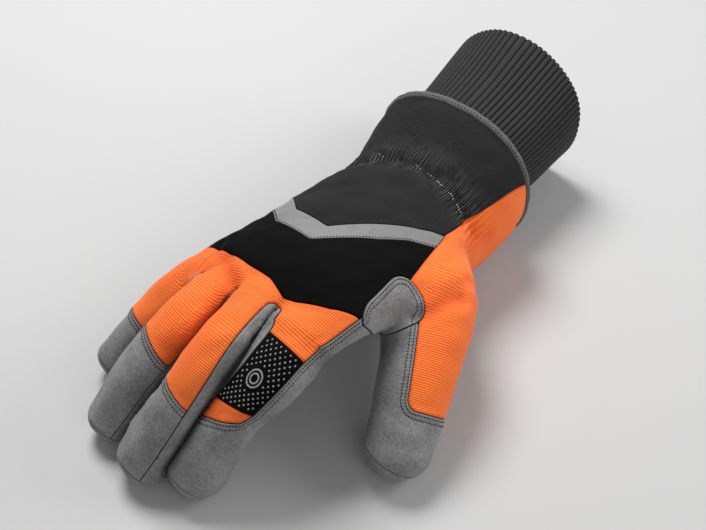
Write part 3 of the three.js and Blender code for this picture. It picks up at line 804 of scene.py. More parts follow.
keys_of = {name: edge_keys(faces) for name, faces in panels.items()}
scraps = 0
for name in list(panels):
    faces = panels[name]
    label = islands(faces)
    sizes = np.bincount(label, weights=areas(faces))
    stray = [k for k in np.unique(label) if sizes[k] < min(SMALLEST_SHEET, sizes.max())]
    for island in stray:
        scrap = faces[label == island]
        keys = edge_keys(scrap)
        beside = {other: np.isin(keys, keys_of[other]).sum() for other in panels if other != name}
        taker = max(beside, key=beside.get)
        panels[taker] = np.vstack([panels[taker], scrap])
        keys_of[taker] = edge_keys(panels[taker])
    panels[name] = faces[~np.isin(label, stray)]
    keys_of[name] = edge_keys(panels[name])
    scraps += len(stray)
print("scraps given away:", scraps)

edges_of = {name: boundary(faces) for name, faces in panels.items()}
print("edges of panels:", sum(len(edges) for edges in edges_of.values()))

# %% [markdown]
# ## 6. Padding pressed out between the seams
# The glove is quilted to a soft lining, so each panel crowns between its seams. A coarse copy of
# the skin is held along every seam and blown up by Blender's Cloth pressure; the fine skin then
# takes over that swelling, capped so that the outline stays true.

# %% Cloth under pressure, held along its seams
SIM_VOXEL = 4.0
PRESSURE = 900.0
STRETCH_STIFFNESS = 3.0
SIM_FRAMES = 20
HELD_REACH, HELD_SHARE = 2.5, 1.4
HELD_AT_BACK, HELD_AT_FLOOR = FABRIC_BACK - 6, 2
SWELL_CAP = 2.2
SHARED_BY, BLUR = 4, 0.3


def press(rest, pad):
    """Runs the cloth on a pad that is held along the seams. Returns how far each point moved."""
    gap = edge_distance(rest, np.vstack(list(edges_of.values())))
    held = np.clip(HELD_SHARE - gap / HELD_REACH, 0, 1)
    held[(rest[:, 1] > HELD_AT_BACK) | (rest[:, 2] < HELD_AT_FLOOR)] = 1
    group = pad.vertex_groups.new(name="seams")
    for weight in np.unique(held.round(1)):
        group.add(np.flatnonzero(held.round(1) == weight).tolist(), float(weight), "REPLACE")
    cloth = pad.modifiers.new("pressure", "CLOTH")
    cloth.settings.vertex_group_mass = "seams"
    cloth.settings.use_pressure = True
    cloth.settings.tension_stiffness = STRETCH_STIFFNESS
    cloth.settings.compression_stiffness = STRETCH_STIFFNESS
    cloth.settings.uniform_pressure_force = PRESSURE
    cloth.settings.effector_weights.gravity = 0
    cloth.collision_settings.use_collision = False
    for number in range(1, SIM_FRAMES + 1):
        bpy.context.scene.frame_set(number)
    moved = mesh_points(plain_mesh(pad)) - rest
    bpy.context.scene.frame_set(1)
    return moved


def swelling(where):
    """How far the pressed cloth rises at some points, in millimetres."""
    mesh = join_tubes(SIM_VOXEL)
    pad = add_object("pressed", mesh)
    rest = mesh_points(mesh)
    outward = read(mesh.vertex_normals, "vector", 3)
    moved = press(rest, pad)
    bpy.data.objects.remove(pad)
    rise = np.clip((moved * outward).sum(1), 0, SWELL_CAP)
    print("pressed:", len(rest), "points, up to", moved.max().round(1), "mm")
    tree = kd_tree(rest)
    result = np.empty(len(where))
    for k, place in enumerate(where.tolist()):
        near = [(index, 1 / (gap + BLUR)) for _, index, gap in tree.find_n(place, SHARED_BY)]
        result[k] = sum(rise[index] * share for index, share in near) / sum(share for _, share in near)
    return result


SWELL = data.shape[1]
swell = swelling(data[:, :3])
data = np.column_stack([data, swell])
print("swelling of the skin:", swell.mean().round(2), "mm on average")

# %% Which seams are stitched
DOUBLE_ROW, SINGLE_ROW = (1.4, 3.6), (0.9,)
COLOURED = ["finger_back_panel", "thumb_back_panel", "index_back_tip", "touch_patch", "black_panel"]
SUEDE_TO_COLOURED = [
    "thumb_saddle", "index_side_and_tip", "tip_cap_middle", "tip_cap_ring", "tip_cap_pinky",
    "thumb_front"]
STITCHED = {name: (COLOURED, DOUBLE_ROW) for name in SUEDE_TO_COLOURED}
STITCHED["palm_suede"] = (COLOURED + ["back_knit"], DOUBLE_ROW)
STITCHED["reflective_stripe"] = (["black_panel"], SINGLE_ROW)


def shared_edges(name, others):
    """Edges of one panel whose ends are also points of other panels."""
    theirs = np.unique(np.concatenate([panels[other].ravel() for other in others]))
    return edges_of[name][np.isin(edges_of[name], theirs).all(1)]


def lines_at(faces, value, level):
    """Lines where a value on a sheet passes a level: pairs of points, shares, and chains."""
    _, _, edges, crossings = mixed_triangles(faces, value > level)
    first, second = value[edges[:, 0]], value[edges[:, 1]]
    links = {}
    for a, b in crossings.T.tolist():
        links.setdefault(a, []).append(b)
        links.setdefault(b, []).append(a)
    chains, seen = [], set()
    for start in sorted(links, key=lambda k: len(links[k])):
        if start in seen:
            continue
        chain = [start]
        seen.add(start)
        while ahead := [k for k in links[chain[-1]] if k not in seen]:
            chain.append(ahead[0])
            seen.add(ahead[0])
        chains.append(chain)
    return edges, (level - first) / (second - first), chains


shared = {name: shared_edges(name, others) for name, (others, _) in STITCHED.items()}
print("stitched seams:", ", ".join(shared))

# %% Rows of points beside the edges, and lines for the stitches
EDGE_ROWS = (0.25, 0.6, 1.1, 1.8)
SLOT_ROWS = (-1.2, -0.6, 0, 0.6, 1.2)
BESIDE_STITCH = (-0.45, 0, 0.45)


def distance_on(faces, edges):
    """For each point of a sheet its distance from some edges; points elsewhere are far off."""
    used = np.unique(faces)
    column = np.full(len(data), ELSEWHERE)
    column[used] = edge_distance(data[used, :3], edges)
    return column


def with_row(faces, column, level):
    """Cuts a row of points into a sheet where a column of numbers passes a level."""
    added, far_part, near_part = cut(data, faces, column - level)
    return added, np.concatenate([far_part, near_part])


seam_distance, stitch_lines, stitch_gap = {}, {}, {}
for name, faces in panels.items():
    for row in SLOT_ROWS if name.startswith("fourchette") else ():
        data, faces = with_row(faces, data[:, BETWEEN], row)
    for row in EDGE_ROWS:
        data, faces = with_row(faces, distance_on(faces, edges_of[name]), row)
    rows = STITCHED[name][1] if name in STITCHED else ()
    if rows:
        column = distance_on(faces, shared[name])
        stitch_lines[name] = [lines_at(faces, column, row) for row in rows]
    for level in [row + step for row in rows for step in BESIDE_STITCH]:
        data, faces = with_row(faces, distance_on(faces, shared[name]), level)
    panels[name] = faces
    where = data[np.unique(faces), :3]
    seam_distance[name] = edge_distance(where, edges_of[name])
    stitch_gap[name] = [edge_distance(where, shared[name]) - row for row in rows]
print("points:", len(data), "triangles:", sum(len(faces) for faces in panels.values()))

# %% [markdown]
# ## 7. The sewn panels
# Every panel gets its rolled edge, its swelling, its folds and a groove under each row of
# stitches, and Solidify gives it the thickness of cloth.

# %% Which cloth each panel is
OTHER_CLOTH = {
    "touch_patch": "black", "index_back_tip": "orange", "thumb_back_panel": "orange",
    "finger_back_panel": "orange", "black_panel": "black", "reflective_stripe": "stripe",
    "back_knit": "knit", "wrist_underside": "knit"}
CLOTH_OF = {name: OTHER_CLOTH.get(name, "suede") for name in panels}
ROLL = {"suede": 0.9, "orange": 1.2, "black": 0.9, "knit": 0.9, "stripe": 0.35}
print("suede panels:", sum(cloth == "suede" for cloth in CLOTH_OF.values()))

# %% How far each point of a panel stands out
# Panels are drawn in a little, so that their swelling leaves the outline true. Lumps have a
# height and a wavelength.
STITCH_GROOVE, GROOVE_WIDTH = 0.2, 0.42
RAISED = {"thumb_saddle": 0.7}
DRAWN_IN = 0.45
CROWN_REACH = 4
BIG_LUMPS, SMALL_LUMPS, LUMP_SPREAD = (0.25, 38), (0.2, 12), (0.7, 1.3)
rng = np.random.default_rng(7)


def lumps(height, wavelength, waves=9):
    """Soft random hills of about the given height and wavelength."""
    total = np.zeros(len(data))
    for _ in range(waves):
        heading = unit(rng.normal(size=3)) * 2 * math.pi / wavelength * rng.uniform(*LUMP_SPREAD)
        total += np.sin(data[:, :3] @ heading + rng.uniform(0, 2 * math.pi))
    return height * (total / math.sqrt(waves))


def roll_in(distance, radius):
    """A quarter-round edge: the cloth turns down into its seam."""
    inside = np.clip(1 - distance / radius, 0, 1)
    return radius * (np.sqrt(1 - inside**2) - 1)


big, small = lumps(*BIG_LUMPS), lumps(*SMALL_LUMPS)


def relief(name, used):
    """How far the points of a panel stand out from the skin, in millimetres."""
    distance = seam_distance[name]
    crown = big[used] + small[used] + data[used, SWELL] - DRAWN_IN
    rise = roll_in(distance, ROLL[CLOTH_OF[name]]) + data[used, FORM]
    rise += crown * np.clip(distance / CROWN_REACH, 0, 1) + RAISED.get(name, 0)
    for gap in stitch_gap[name]:
        rise -= STITCH_GROOVE * bell(gap, GROOVE_WIDTH)
    return rise


print("lumps:", np.ptp(big + small).round(2), "mm from hollow to hill")

# %% Make each panel
CLOTH_THICKNESS = 1.2
ON_FLOOR = 0.02
FOLD_SHARE, DEEP_FOLD = 0.6, 3
MADE, SHEETS, STITCH_PATHS = {}, {}, []


def add_uv(mesh, name, values):
    """A UV map from two numbers a vertex."""
    layer = mesh.uv_layers.new(name=name)
    corners = read(mesh.loops, "vertex_index", 1, np.int32).ravel()
    layer.data.foreach_set("uv", values[corners].astype(np.float32).ravel())


def depth_in_fold(name, used):
    """From 0 on open cloth to 1 deep in a fold, in the elastic or in a slot: how much painted shade the
    cloth gets there.
    """
    folded = FOLD_SHARE * np.clip(-data[used, FORM] / DEEP_FOLD, 0, 1)
    fold_depth = data[used, GATHER] if CLOTH_OF[name] == "knit" else folded
    return np.maximum(fold_depth, np.clip(data[used, SLIT_SHADE], 0, 1))


for name, faces in panels.items():
    used = np.unique(faces)
    distance = seam_distance[name]
    renumber = np.zeros(len(data), int)
    renumber[used] = np.arange(len(used))
    normal = unit(data[used, 3:6])
    place = data[used, :3] + normal * relief(name, used)[:, None]
    place[:, 2] = np.maximum(place[:, 2], ON_FLOOR)
    for edges, share, chains in stitch_lines.get(name, ()):
        first, second, share = renumber[edges[:, 0]], renumber[edges[:, 1]], share[:, None]
        spot = place[first] * (1 - share) + place[second] * share
        STITCH_PATHS += [(name, spot[chain]) for chain in chains]
    made = new_object(name + "_cloth", place, renumber[faces].tolist())
    made.data.shade_smooth()
    add_uv(made.data, "weave", data[used][:, [ROUND, ALONG]])
    # The edge map's second number sets the painted shade in folds, gathers and slots.
    add_uv(made.data, "edge", np.stack([distance, depth_in_fold(name, used)], 1))
    MADE[name] = made
    SHEETS[name] = (place, normal, distance)
    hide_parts(name.removesuffix("_under"))
    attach(made, "root")
    thick = made.modifiers.new("cloth thickness", "SOLIDIFY")
    thick.thickness = CLOTH_THICKNESS * MM
    thick.offset = -1
print("pieces:", len(MADE), "stitch paths:", len(STITCH_PATHS))

# %% [markdown]
# ## 8. The ribbed cuff and its binding
# The cuff is a knitted tube, turned over at its end, whose ribs stand up where it is slack. A
# small Geometry Nodes tree lifts the ribs out of a smooth tube, so that their number and depth
# stay two plain inputs. The binding is a tape folded over the raw edge of the fabric.

# %% Tubes swept along a limb
def add_number(mesh, name, values):
    mesh.attributes.new(name, "FLOAT", "POINT").data.foreach_set("value", values.astype(np.float32))


def add_direction(mesh, name, values):
    attribute = mesh.attributes.new(name, "FLOAT_VECTOR", "POINT")
    attribute.data.foreach_set("vector", values.astype(np.float32).ravel())


def sway(waves, angle, y):
    """A soft waviness, from rows of height, waves round, millimetres along and phase."""
    return sum(height * np.sin(count * angle + y / along + phase) for height, count, along, phase in waves)


def swept(name, limb, path, around, waves):
    """A closed tube whose path rows are (y, inset), with its outward directions."""
    angle = np.linspace(0, 2 * math.pi, around, endpoint=False)
    across, above = squared(angle, limb.squareness)
    rings, outwards = [], []
    for y, inset in path:
        origin, _, side, up, wide, high = limb.frames(np.array([limb.t_at(y)]))
        lift = sway(waves, angle, y) - inset
        offset = (across * (wide[0] + lift))[:, None] * side[0]
        offset += (above * (high[0] + lift))[:, None] * up[0]
        offset[:, 1] = 0
        rings.append(origin[0] * [1, 0, 1] + offset + [0, y, 0])
        outwards.append(unit(offset))
    rows, column = len(path), np.arange(around)
    step = (column + 1) % around
    faces = []
    for row in range(rows):
        first, second = row * around, ((row + 1) % rows) * around
        faces.append(np.stack([first + column, second + column, second + step, first + step], 1))
    where = np.vstack(rings)
    where[:, 2] = np.maximum(where[:, 2], ON_FLOOR)
    made = new_object(name, where, np.vstack(faces).tolist())
    turn = np.tile(angle / (2 * math.pi), rows)
    add_uv(made.data, "weave", np.stack([turn, np.repeat(arc_lengths(np.array(path)), around)], 1))
    add_number(made.data, "turn", turn)
    add_direction(made.data, "outward", np.vstack(outwards))
    return made


# %% A short way to write node trees
class NodeTree:
    """A tree written one node a line. Inputs go by name, or as i0, i1 and so on by number."""

    def add(self, kind, settings=None, output=0, **inputs):
        node = self.tree.nodes.new(kind)
        for key, value in (settings or {}).items():
            setattr(node, key, value)
        for key, value in inputs.items():
            numbered = key[1:].isdigit()
            socket = node.inputs[int(key[1:]) if numbered else key.replace("_", " ")]
            if isinstance(value, bpy.types.NodeSocket):
                self.tree.links.new(value, socket)
            else:
                socket.default_value = value
        return node.outputs[output]

    def math(self, operation, first, second=0.0, third=0.0):
        return self.add("ShaderNodeMath", {"operation": operation}, i0=first, i1=second, i2=third)

    def times(self, first, second):
        return self.math("MULTIPLY", first, second)

    def plus(self, first, second):
        return self.math("ADD", first, second)

    def minus(self, first, second):
        return self.math("SUBTRACT", first, second)


# %% Geometry Nodes trees
class Shaper(NodeTree):
    """A Geometry Nodes tree with named inputs."""

    def __init__(self, name, **sizes):
        self.tree = bpy.data.node_groups.new(name, "GeometryNodeTree")
        self.tree.is_modifier = True
        sockets = self.tree.interface
        sockets.new_socket("Geometry", in_out="INPUT", socket_type="NodeSocketGeometry")
        for size, value in sizes.items():
            kind = "NodeSocketInt" if isinstance(value, int) else "NodeSocketFloat"
            sockets.new_socket(size, in_out="INPUT", socket_type=kind).default_value = value
        sockets.new_socket("Material", in_out="INPUT", socket_type="NodeSocketMaterial")
        sockets.new_socket("Geometry", in_out="OUTPUT", socket_type="NodeSocketGeometry")
        self.inputs = self.tree.nodes.new("NodeGroupInput").outputs

    def stored(self, kind, name):
        return self.add("GeometryNodeInputNamedAttribute", {"data_type": kind}, Name=name)

    def finish(self, geometry):
        solid = self.add("GeometryNodeRealizeInstances", Geometry=geometry)
        dressed = self.add("GeometryNodeSetMaterial", Geometry=solid, Material=self.inputs["Material"])
        self.tree.links.new(dressed, self.tree.nodes.new("NodeGroupOutput").inputs[0])
        return self.tree


def run_tree(made, tree, material, **sizes):
    """Turns an object into the plain mesh that a tree makes of it."""
    modifier = made.modifiers.new(tree.name, "NODES")
    modifier.node_group = tree
    values = {"Material": material, **sizes}
    for item in tree.interface.items_tree:
        if item.in_out == "INPUT" and item.name in values:
            modifier[item.identifier] = values[item.name]
    result = plain_mesh(made)
    made.modifiers.clear()
    made.data = result
    made.data.shade_smooth()


# %% A tree that lifts ribs out of a tube
ribs = Shaper("lift_ribs", Ribs=60, Depth=0.0015, Roundness=0.55)
half_waves = ribs.times(ribs.stored("FLOAT", "turn"), ribs.inputs["Ribs"])
wave = ribs.math("ABSOLUTE", ribs.math("COSINE", ribs.times(half_waves, math.pi)))
ridge = ribs.math("POWER", wave, ribs.inputs["Roundness"])
sink = ribs.times(ribs.minus(ridge, 1.0), ribs.inputs["Depth"])
push = ribs.add(
    "ShaderNodeVectorMath", {"operation": "SCALE"}, i0=ribs.stored("FLOAT_VECTOR", "outward"), Scale=sink)
RIB_TREE = ribs.finish(ribs.add("GeometryNodeSetPosition", Geometry=ribs.inputs["Geometry"], Offset=push))
print("tree:", RIB_TREE.name, "with", len(RIB_TREE.nodes), "nodes")

# %% The cuff
CUFF_RIBS, COLUMNS_A_RIB, RIB_DEPTH = 76, 8, 1.3
CUFF_WALL, LIP = 2.4, 1.2
CUFF_FRONT, CUFF_END = 64, 168
OUTER_RINGS, LIP_RINGS, INNER_RINGS = 46, 9, 16
CUFF_WAVES = [(0.5, 3, 19, 0), (0.35, 5, -13, 0)]
cuff_path = [(y, 0) for y in np.linspace(CUFF_FRONT, CUFF_END - LIP, OUTER_RINGS)]
cuff_path += [
    (CUFF_END - LIP + LIP * math.sin(turn), CUFF_WALL / 2 * (1 - math.cos(turn)))
    for turn in np.linspace(0, math.pi, LIP_RINGS)[1:-1]]
cuff_path += [(y, CUFF_WALL) for y in np.linspace(CUFF_END - LIP, CUFF_FRONT, INNER_RINGS)]
cuff = swept(
    "rib_cuff_knit", Limb(CUFF_ROWS, HAND_SQUARENESS), cuff_path, CUFF_RIBS * COLUMNS_A_RIB, CUFF_WAVES)
print(cuff.name, len(cuff.data.polygons), "faces")

# %% The binding tape
BINDING_BACK, BINDING_FRONT = 101.5, 97.2
BINDING_PROUD, BINDING_DEPTH = 0.9, 3.6
TAPE_SQUARENESS, TAPE_RINGS, TAPE_AROUND = 3.2, 28, 260
TAPE_WAVES = [(0.12, 23, math.inf, 0), (0.1, 41, math.inf, 1)]
half_wide, half_deep = (BINDING_BACK - BINDING_FRONT) / 2, (BINDING_PROUD + BINDING_DEPTH) / 2
tape_turn = np.linspace(0, 2 * math.pi, TAPE_RINGS, endpoint=False)
backwards, outwards = squared(tape_turn, TAPE_SQUARENESS)
tape_path = np.column_stack([
    BINDING_FRONT + half_wide + half_wide * backwards, -BINDING_PROUD + half_deep - half_deep * outwards])
binding = swept("hem_binding_tape", LIMBS["hand"], tape_path, TAPE_AROUND, TAPE_WAVES)
binding.data.shade_smooth()
print(binding.name, len(binding.data.polygons), "faces")

# %% [markdown]
# ## 9. Cloths
# Every cloth is a small node tree. Woven and knitted cloths read the panel's own UV map, which
# runs round and along the finger in millimetres; suede reads Object coordinates, because brushed
# fibres have no direction. A second UV map, "edge", holds the distance from the seam and how deep
# the cloth lies in a fold, for wear and for the painted shade at seams and in folds.

# %% A short way to write a material
class Recipe(NodeTree):
    """A material whose nodes are added one line at a time."""

    def __init__(self, name, roughness, **sockets):
        self.material = bpy.data.materials.new(name)
        self.material.use_nodes = True
        self.tree = self.material.node_tree
        self.shader = self.tree.nodes["Principled BSDF"]
        self.shader.inputs["Roughness"].default_value = roughness
        for socket, value in sockets.items():
            self.shader.inputs[socket.replace("_", " ")].default_value = value
        self.place = self.add("ShaderNodeTexCoord", output=3)

    def mix(self, share, first, second):
        return self.add("ShaderNodeMix", {"data_type": "RGBA"}, 2, i0=share, i6=first, i7=second)

    def mottled(self, value, low, high, dark, light):
        """A colour that goes from dark to light as a value rises from low to high."""
        return self.mix(self.ramp(value, low, high), dark, light)

    def noise(self, scale, detail=3.0):
        return self.add("ShaderNodeTexNoise", Vector=self.place, Scale=scale, Detail=detail)

    def ramp(self, value, low, high):
        return self.add("ShaderNodeMapRange", {"clamp": True}, Value=value, From_Min=low, From_Max=high)

    def split_uv(self, name):
        parts = self.tree.nodes.new("ShaderNodeSeparateXYZ")
        self.tree.links.new(self.add("ShaderNodeUVMap", {"uv_map": name}), parts.inputs[0])
        return parts.outputs[0], parts.outputs[1]

    def waves(self, place, pitch):
        """Even waves from 0 to 1 at a pitch."""
        sine = self.math("SINE", self.times(place, 2 * math.pi / pitch))
        return self.math("MULTIPLY_ADD", sine, 0.5, 0.5)

    def finish(self, colour, height, depth_mm, strength=1.0):
        bump = self.add("ShaderNodeBump", Height=height, Distance=depth_mm * MM, Strength=strength)
        self.tree.links.new(bump, self.shader.inputs["Normal"])
        self.tree.links.new(colour, self.shader.inputs["Base Color"])
        return self.material


def grey(level):
    return (level, level, level, 1.0)


# %% Ribbed cloths: orange back, charcoal knit and black twill
# Noise is given by its scale, about as many hills as there are in a metre of cloth.
WAVER, HAIR, BLOTCHES = 55.0, 1100.0, 34.0
WAVER_SHARE, LOOP_SHARE, ROW_SHADE, HAIR_SHADE, BLOTCH_SHADE = 0.2, 0.22, 0.6, 0.35, 0.3
FOLD_SHADE, SEAM_SHADE, SEAM_REACH = 0.9, 0.55, 1.5
GATHER_PITCH, GATHER_HEIGHT, GATHER_HIGHLIGHT = 1.35, 2.5, 0.1
GATHER_WAVER, GATHER_PATCHES, PATCH_EDGE = 120.0, 150.0, (0.38, 0.55)


def gathered(cloth, round_way, fold_depth, height, tint):
    """Fine creases where elastic bunches a knit: they raise it, with a painted highlight on their crests
    and painted shade between them.
    """
    crease = cloth.waves(cloth.plus(round_way, cloth.noise(GATHER_WAVER)), GATHER_PITCH)
    fold_depth = cloth.times(fold_depth, cloth.ramp(cloth.noise(GATHER_PATCHES), *PATCH_EDGE))
    height = cloth.math("MULTIPLY_ADD", cloth.times(fold_depth, crease), GATHER_HEIGHT, height)
    tint = cloth.mix(cloth.times(fold_depth, crease), tint, grey(GATHER_HIGHLIGHT))
    return cloth.times(fold_depth, cloth.minus(1.0, crease)), height, tint


def ribbed_cloth(name, colours, pitch, depth, columns, roughness=0.85, shine=0.2, gathers=False):
    """Raised rows across the finger, each made of small loops, with painted shade between the rows, in
    folds and at seams.
    """
    dark, light, fold = colours
    cloth = Recipe(name, roughness, Sheen_Weight=shine / 4, Sheen_Roughness=0.5, Specular_IOR_Level=shine)
    round_way, along_way = cloth.split_uv("weave")
    distance, fold_depth = cloth.split_uv("edge")
    row = cloth.waves(cloth.plus(along_way, cloth.times(cloth.noise(WAVER), WAVER_SHARE)), pitch)
    height = cloth.plus(row, cloth.times(cloth.waves(round_way, columns), LOOP_SHARE))
    shade = cloth.math("MULTIPLY_ADD", height, ROW_SHADE, cloth.times(cloth.noise(HAIR), HAIR_SHADE))
    blotch = cloth.math("MULTIPLY_ADD", cloth.noise(BLOTCHES, 2.0), BLOTCH_SHADE, -BLOTCH_SHADE / 2)
    tint = cloth.mottled(cloth.plus(shade, blotch), 0.1, 0.95, dark, light)
    if gathers:
        fold_depth, height, tint = gathered(cloth, round_way, fold_depth, height, tint)
    folded = cloth.mix(cloth.times(fold_depth, FOLD_SHADE), tint, fold)
    at_seam = cloth.times(cloth.ramp(distance, SEAM_REACH, 0.0), SEAM_SHADE)
    return cloth.finish(cloth.mix(at_seam, folded, fold), height, depth)


# The first two colours run from the rows' valleys to their crests, so shade between rows is painted; the
# third is painted shade for folds, slots and seams.
ORANGE = [(0.84, 0.075, 0.007, 1), (1.0, 0.26, 0.045, 1), (0.48, 0.024, 0.002, 1)]
CHARCOAL = [grey(0.005), grey(0.029), grey(0.002)]
BLACK = [grey(0.0022), grey(0.0055), grey(0.0015)]
CLOTHS = {
    "orange": ribbed_cloth("orange_rib", ORANGE, 0.95, 0.15, 1.05, shine=0.3),
    "knit": ribbed_cloth("charcoal_rib", CHARCOAL, 1.15, 0.24, 0.9, shine=0.1, gathers=True),
    "black": ribbed_cloth("black_twill", BLACK, 0.6, 0.04, 0.6, 0.95, shine=0.05),
}
print("ribbed cloths:", ", ".join(CLOTHS))

# %% Suede: mottled, with short fibres, rubbed pale at its rolled edges, with painted shade in its seams and folds
MOTTLE, FIBRES, BRUSH_MARKS = 620.0, 2300.0, 70.0
FIBRE_SHARE, BRUSH_SHADE, GRAIN_SHADE = 0.6, 0.35, 0.8
RUBBED_BAND, RUBBED_SHARE = (1.6, 0.5), 0.35
SEAM_SHADE_BAND, SEAM_SHADE_SHARE, HOLLOW_SHARE = (0.45, 0.15), 0.8, 0.85
NAP_DEPTH, NAP_STRENGTH = 0.35, 0.9
suede = Recipe("grey_suede", 0.95, Sheen_Weight=0.12, Sheen_Roughness=0.6, Specular_IOR_Level=0.15)
# hollow is painted shade: the colour the suede takes in its seams and deep in folds and slots.
hollow = grey(0.007)
distance, fold_depth = suede.split_uv("edge")
mottle, fibre = suede.noise(MOTTLE, 5.0), suede.noise(FIBRES, 4.0)
grain = suede.math("MULTIPLY_ADD", mottle, 1 - FIBRE_SHARE, suede.times(fibre, FIBRE_SHARE))
brushed = suede.math("MULTIPLY_ADD", suede.noise(BRUSH_MARKS), BRUSH_SHADE, suede.times(grain, GRAIN_SHADE))
tint = suede.mottled(brushed, 0.42, 0.72, grey(0.11), grey(0.31))
rubbed = suede.mix(suede.times(suede.ramp(distance, *RUBBED_BAND), RUBBED_SHARE), tint, grey(0.28))
seam_shaded = suede.mix(suede.times(suede.ramp(distance, *SEAM_SHADE_BAND), SEAM_SHADE_SHARE), rubbed, hollow)
shaded = suede.mix(suede.times(fold_depth, HOLLOW_SHARE), seam_shaded, hollow)
CLOTHS["suede"] = suede.finish(shaded, grain, NAP_DEPTH, NAP_STRENGTH)
print("suede:", CLOTHS["suede"].name)

# %% Reflective tape
BEADS, SCUFFS = 2600.0, 90.0
stripe = Recipe("reflective_tape", 0.5, Specular_IOR_Level=0.35)
beads = stripe.noise(BEADS, 2.0)
glint = stripe.mottled(beads, 0.35, 0.65, grey(0.165), grey(0.225))
scuffed = stripe.mottled(stripe.noise(SCUFFS, 4.0), 0.55, 0.8, glint, grey(0.15))
CLOTHS["stripe"] = stripe.finish(scuffed, beads, 0.04)
print("stripe:", CLOTHS["stripe"].name)

# %% The cuff's knit: ribs of slanted loops, with painted shade between the loops and in the valleys between ribs
WALE_PITCH, WALE_SLANT, WALE_SHADE, CUFF_HAIR = 1.5, 3.0, 0.3, 1500.0
knit = Recipe("cuff_rib_knit", 0.92, Sheen_Weight=0.06, Sheen_Roughness=0.5, Specular_IOR_Level=0.15)
turn, along_way = knit.split_uv("weave")
in_rib = knit.math("FRACT", knit.times(turn, CUFF_RIBS))
across_rib = knit.math("ABSOLUTE", knit.minus(in_rib, 0.5))
slant = knit.times(knit.math("ABSOLUTE", knit.minus(across_rib, 0.25)), WALE_SLANT)
wales = knit.waves(knit.plus(along_way, slant), WALE_PITCH)
hair = knit.times(knit.noise(CUFF_HAIR), 1 - WALE_SHADE)
shade = knit.math("MULTIPLY_ADD", wales, WALE_SHADE, hair)
# The knit's colour: random tone, darker between the loops as painted shade.
loop_tint = knit.mottled(shade, 0.2, 0.85, grey(0.018), grey(0.048))
# The valleys between the ribs are painted nearly black as shade.
CLOTHS["rib"] = knit.finish(knit.mottled(across_rib, 0.17, 0.04, loop_tint, grey(0.004)), shade, 0.22)
print("cuff:", CLOTHS["rib"].name)

# %% Binding tape
TAPE_THREADS, TAPE_PITCH, TAPE_GRAIN, TAPE_HAIR = 340, 0.7, 0.25, 700.0
tape = Recipe("binding_weave", 0.85, Sheen_Weight=0.1, Specular_IOR_Level=0.2)
turn, along_way = tape.split_uv("weave")
weave = tape.plus(tape.waves(turn, 1 / TAPE_THREADS), tape.waves(along_way, TAPE_PITCH))
grain = tape.times(weave, TAPE_GRAIN)
shade = tape.plus(grain, tape.noise(TAPE_HAIR))
CLOTHS["tape"] = tape.finish(tape.mottled(shade, 0.35, 1.0, grey(0.06), grey(0.125)), grain, 0.12)
print("binding:", CLOTHS["tape"].name)


# %% Threads and printed dots
TWIST = 3000.0


def thread(name, dark, light, roughness=0.8):
    """Twisted thread, or a printed dot: a small thing with a fine grain."""
    cord = Recipe(name, roughness, Specular_IOR_Level=0.3)
    grain = cord.noise(TWIST, 2.0)
    return cord.finish(cord.mottled(grain, 0.3, 0.7, dark, light), grain, 0.05)


DARK_THREAD = thread("dark_thread", grey(0.004), grey(0.012))
PALE_THREAD = thread("pale_thread", grey(0.6), grey(0.85))
GRIP_PRINT = thread("grip_print", grey(0.2), grey(0.34), 0.6)
print("threads:", DARK_THREAD.name, PALE_THREAD.name, GRIP_PRINT.name)

# %% Dress the panels, the cuff and the binding
for name, made in MADE.items():
    made.data.materials.append(CLOTHS[CLOTH_OF[name]])
binding.data.materials.append(CLOTHS["tape"])
run_tree(cuff, RIB_TREE, CLOTHS["rib"], Ribs=CUFF_RIBS, Depth=RIB_DEPTH * MM)
for made, node, slot in ((cuff, "rib_cuff", "rib_knit"), (binding, "hem_binding", "binding_tape")):
    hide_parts(node)
    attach(made, "root")
print("cloths:", ", ".join(CLOTHS))

# %% [markdown]
# ## 10. Stitches and printed dots
# A double row of stitches runs along each suede edge. One small tree lays the same few-sided
# pellet on every point of a row, turned along the thread and up from the cloth; the same tree
# prints the touch patch's grip dots and the elastic's pale specks.

# %% A tree that repeats a pellet on points
pellets = Shaper("lay_pellets", Length=0.001, Width=0.0005, Height=0.0004, Sides=6)
ball = pellets.add("GeometryNodeMeshUVSphere", Segments=pellets.inputs["Sides"], Rings=4, Radius=0.5)
length, width, height = (pellets.inputs[size] for size in ("Length", "Width", "Height"))
size = pellets.add("ShaderNodeCombineXYZ", X=length, Y=width, Z=height)
pellet = pellets.add("GeometryNodeTransform", Geometry=ball, Scale=size)
TURN = "FunctionNodeAlignRotationToVector"
upright = pellets.add(TURN, {"axis": "Z"}, Vector=pellets.stored("FLOAT_VECTOR", "upward"))
turned = pellets.add(
    TURN, {"axis": "X", "pivot_axis": "Z"}, Rotation=upright,
    Vector=pellets.stored("FLOAT_VECTOR", "thread"))
PELLET_TREE = pellets.finish(pellets.add(
    "GeometryNodeInstanceOnPoints", Points=pellets.inputs["Geometry"], Instance=pellet, Rotation=turned))


def pellets_on(name, spots, upward, along, material, slot, **sizes):
    """One object with a pellet on every spot."""
    made = new_object(name, spots, [])
    add_direction(made.data, "upward", upward)
    add_direction(made.data, "thread", along)
    run_tree(made, PELLET_TREE, material, **{key: size * MM for key, size in sizes.items()})
    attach(made, "root")
    print(name, len(spots), "pellets,", len(made.data.polygons), "faces")


# %% Stitches along the seams
STITCH_PITCH, STITCH_LIFT = 1.55, 0.08
FEWEST_STITCHES = 4
CLEAR_OF_FLOOR = 1.0


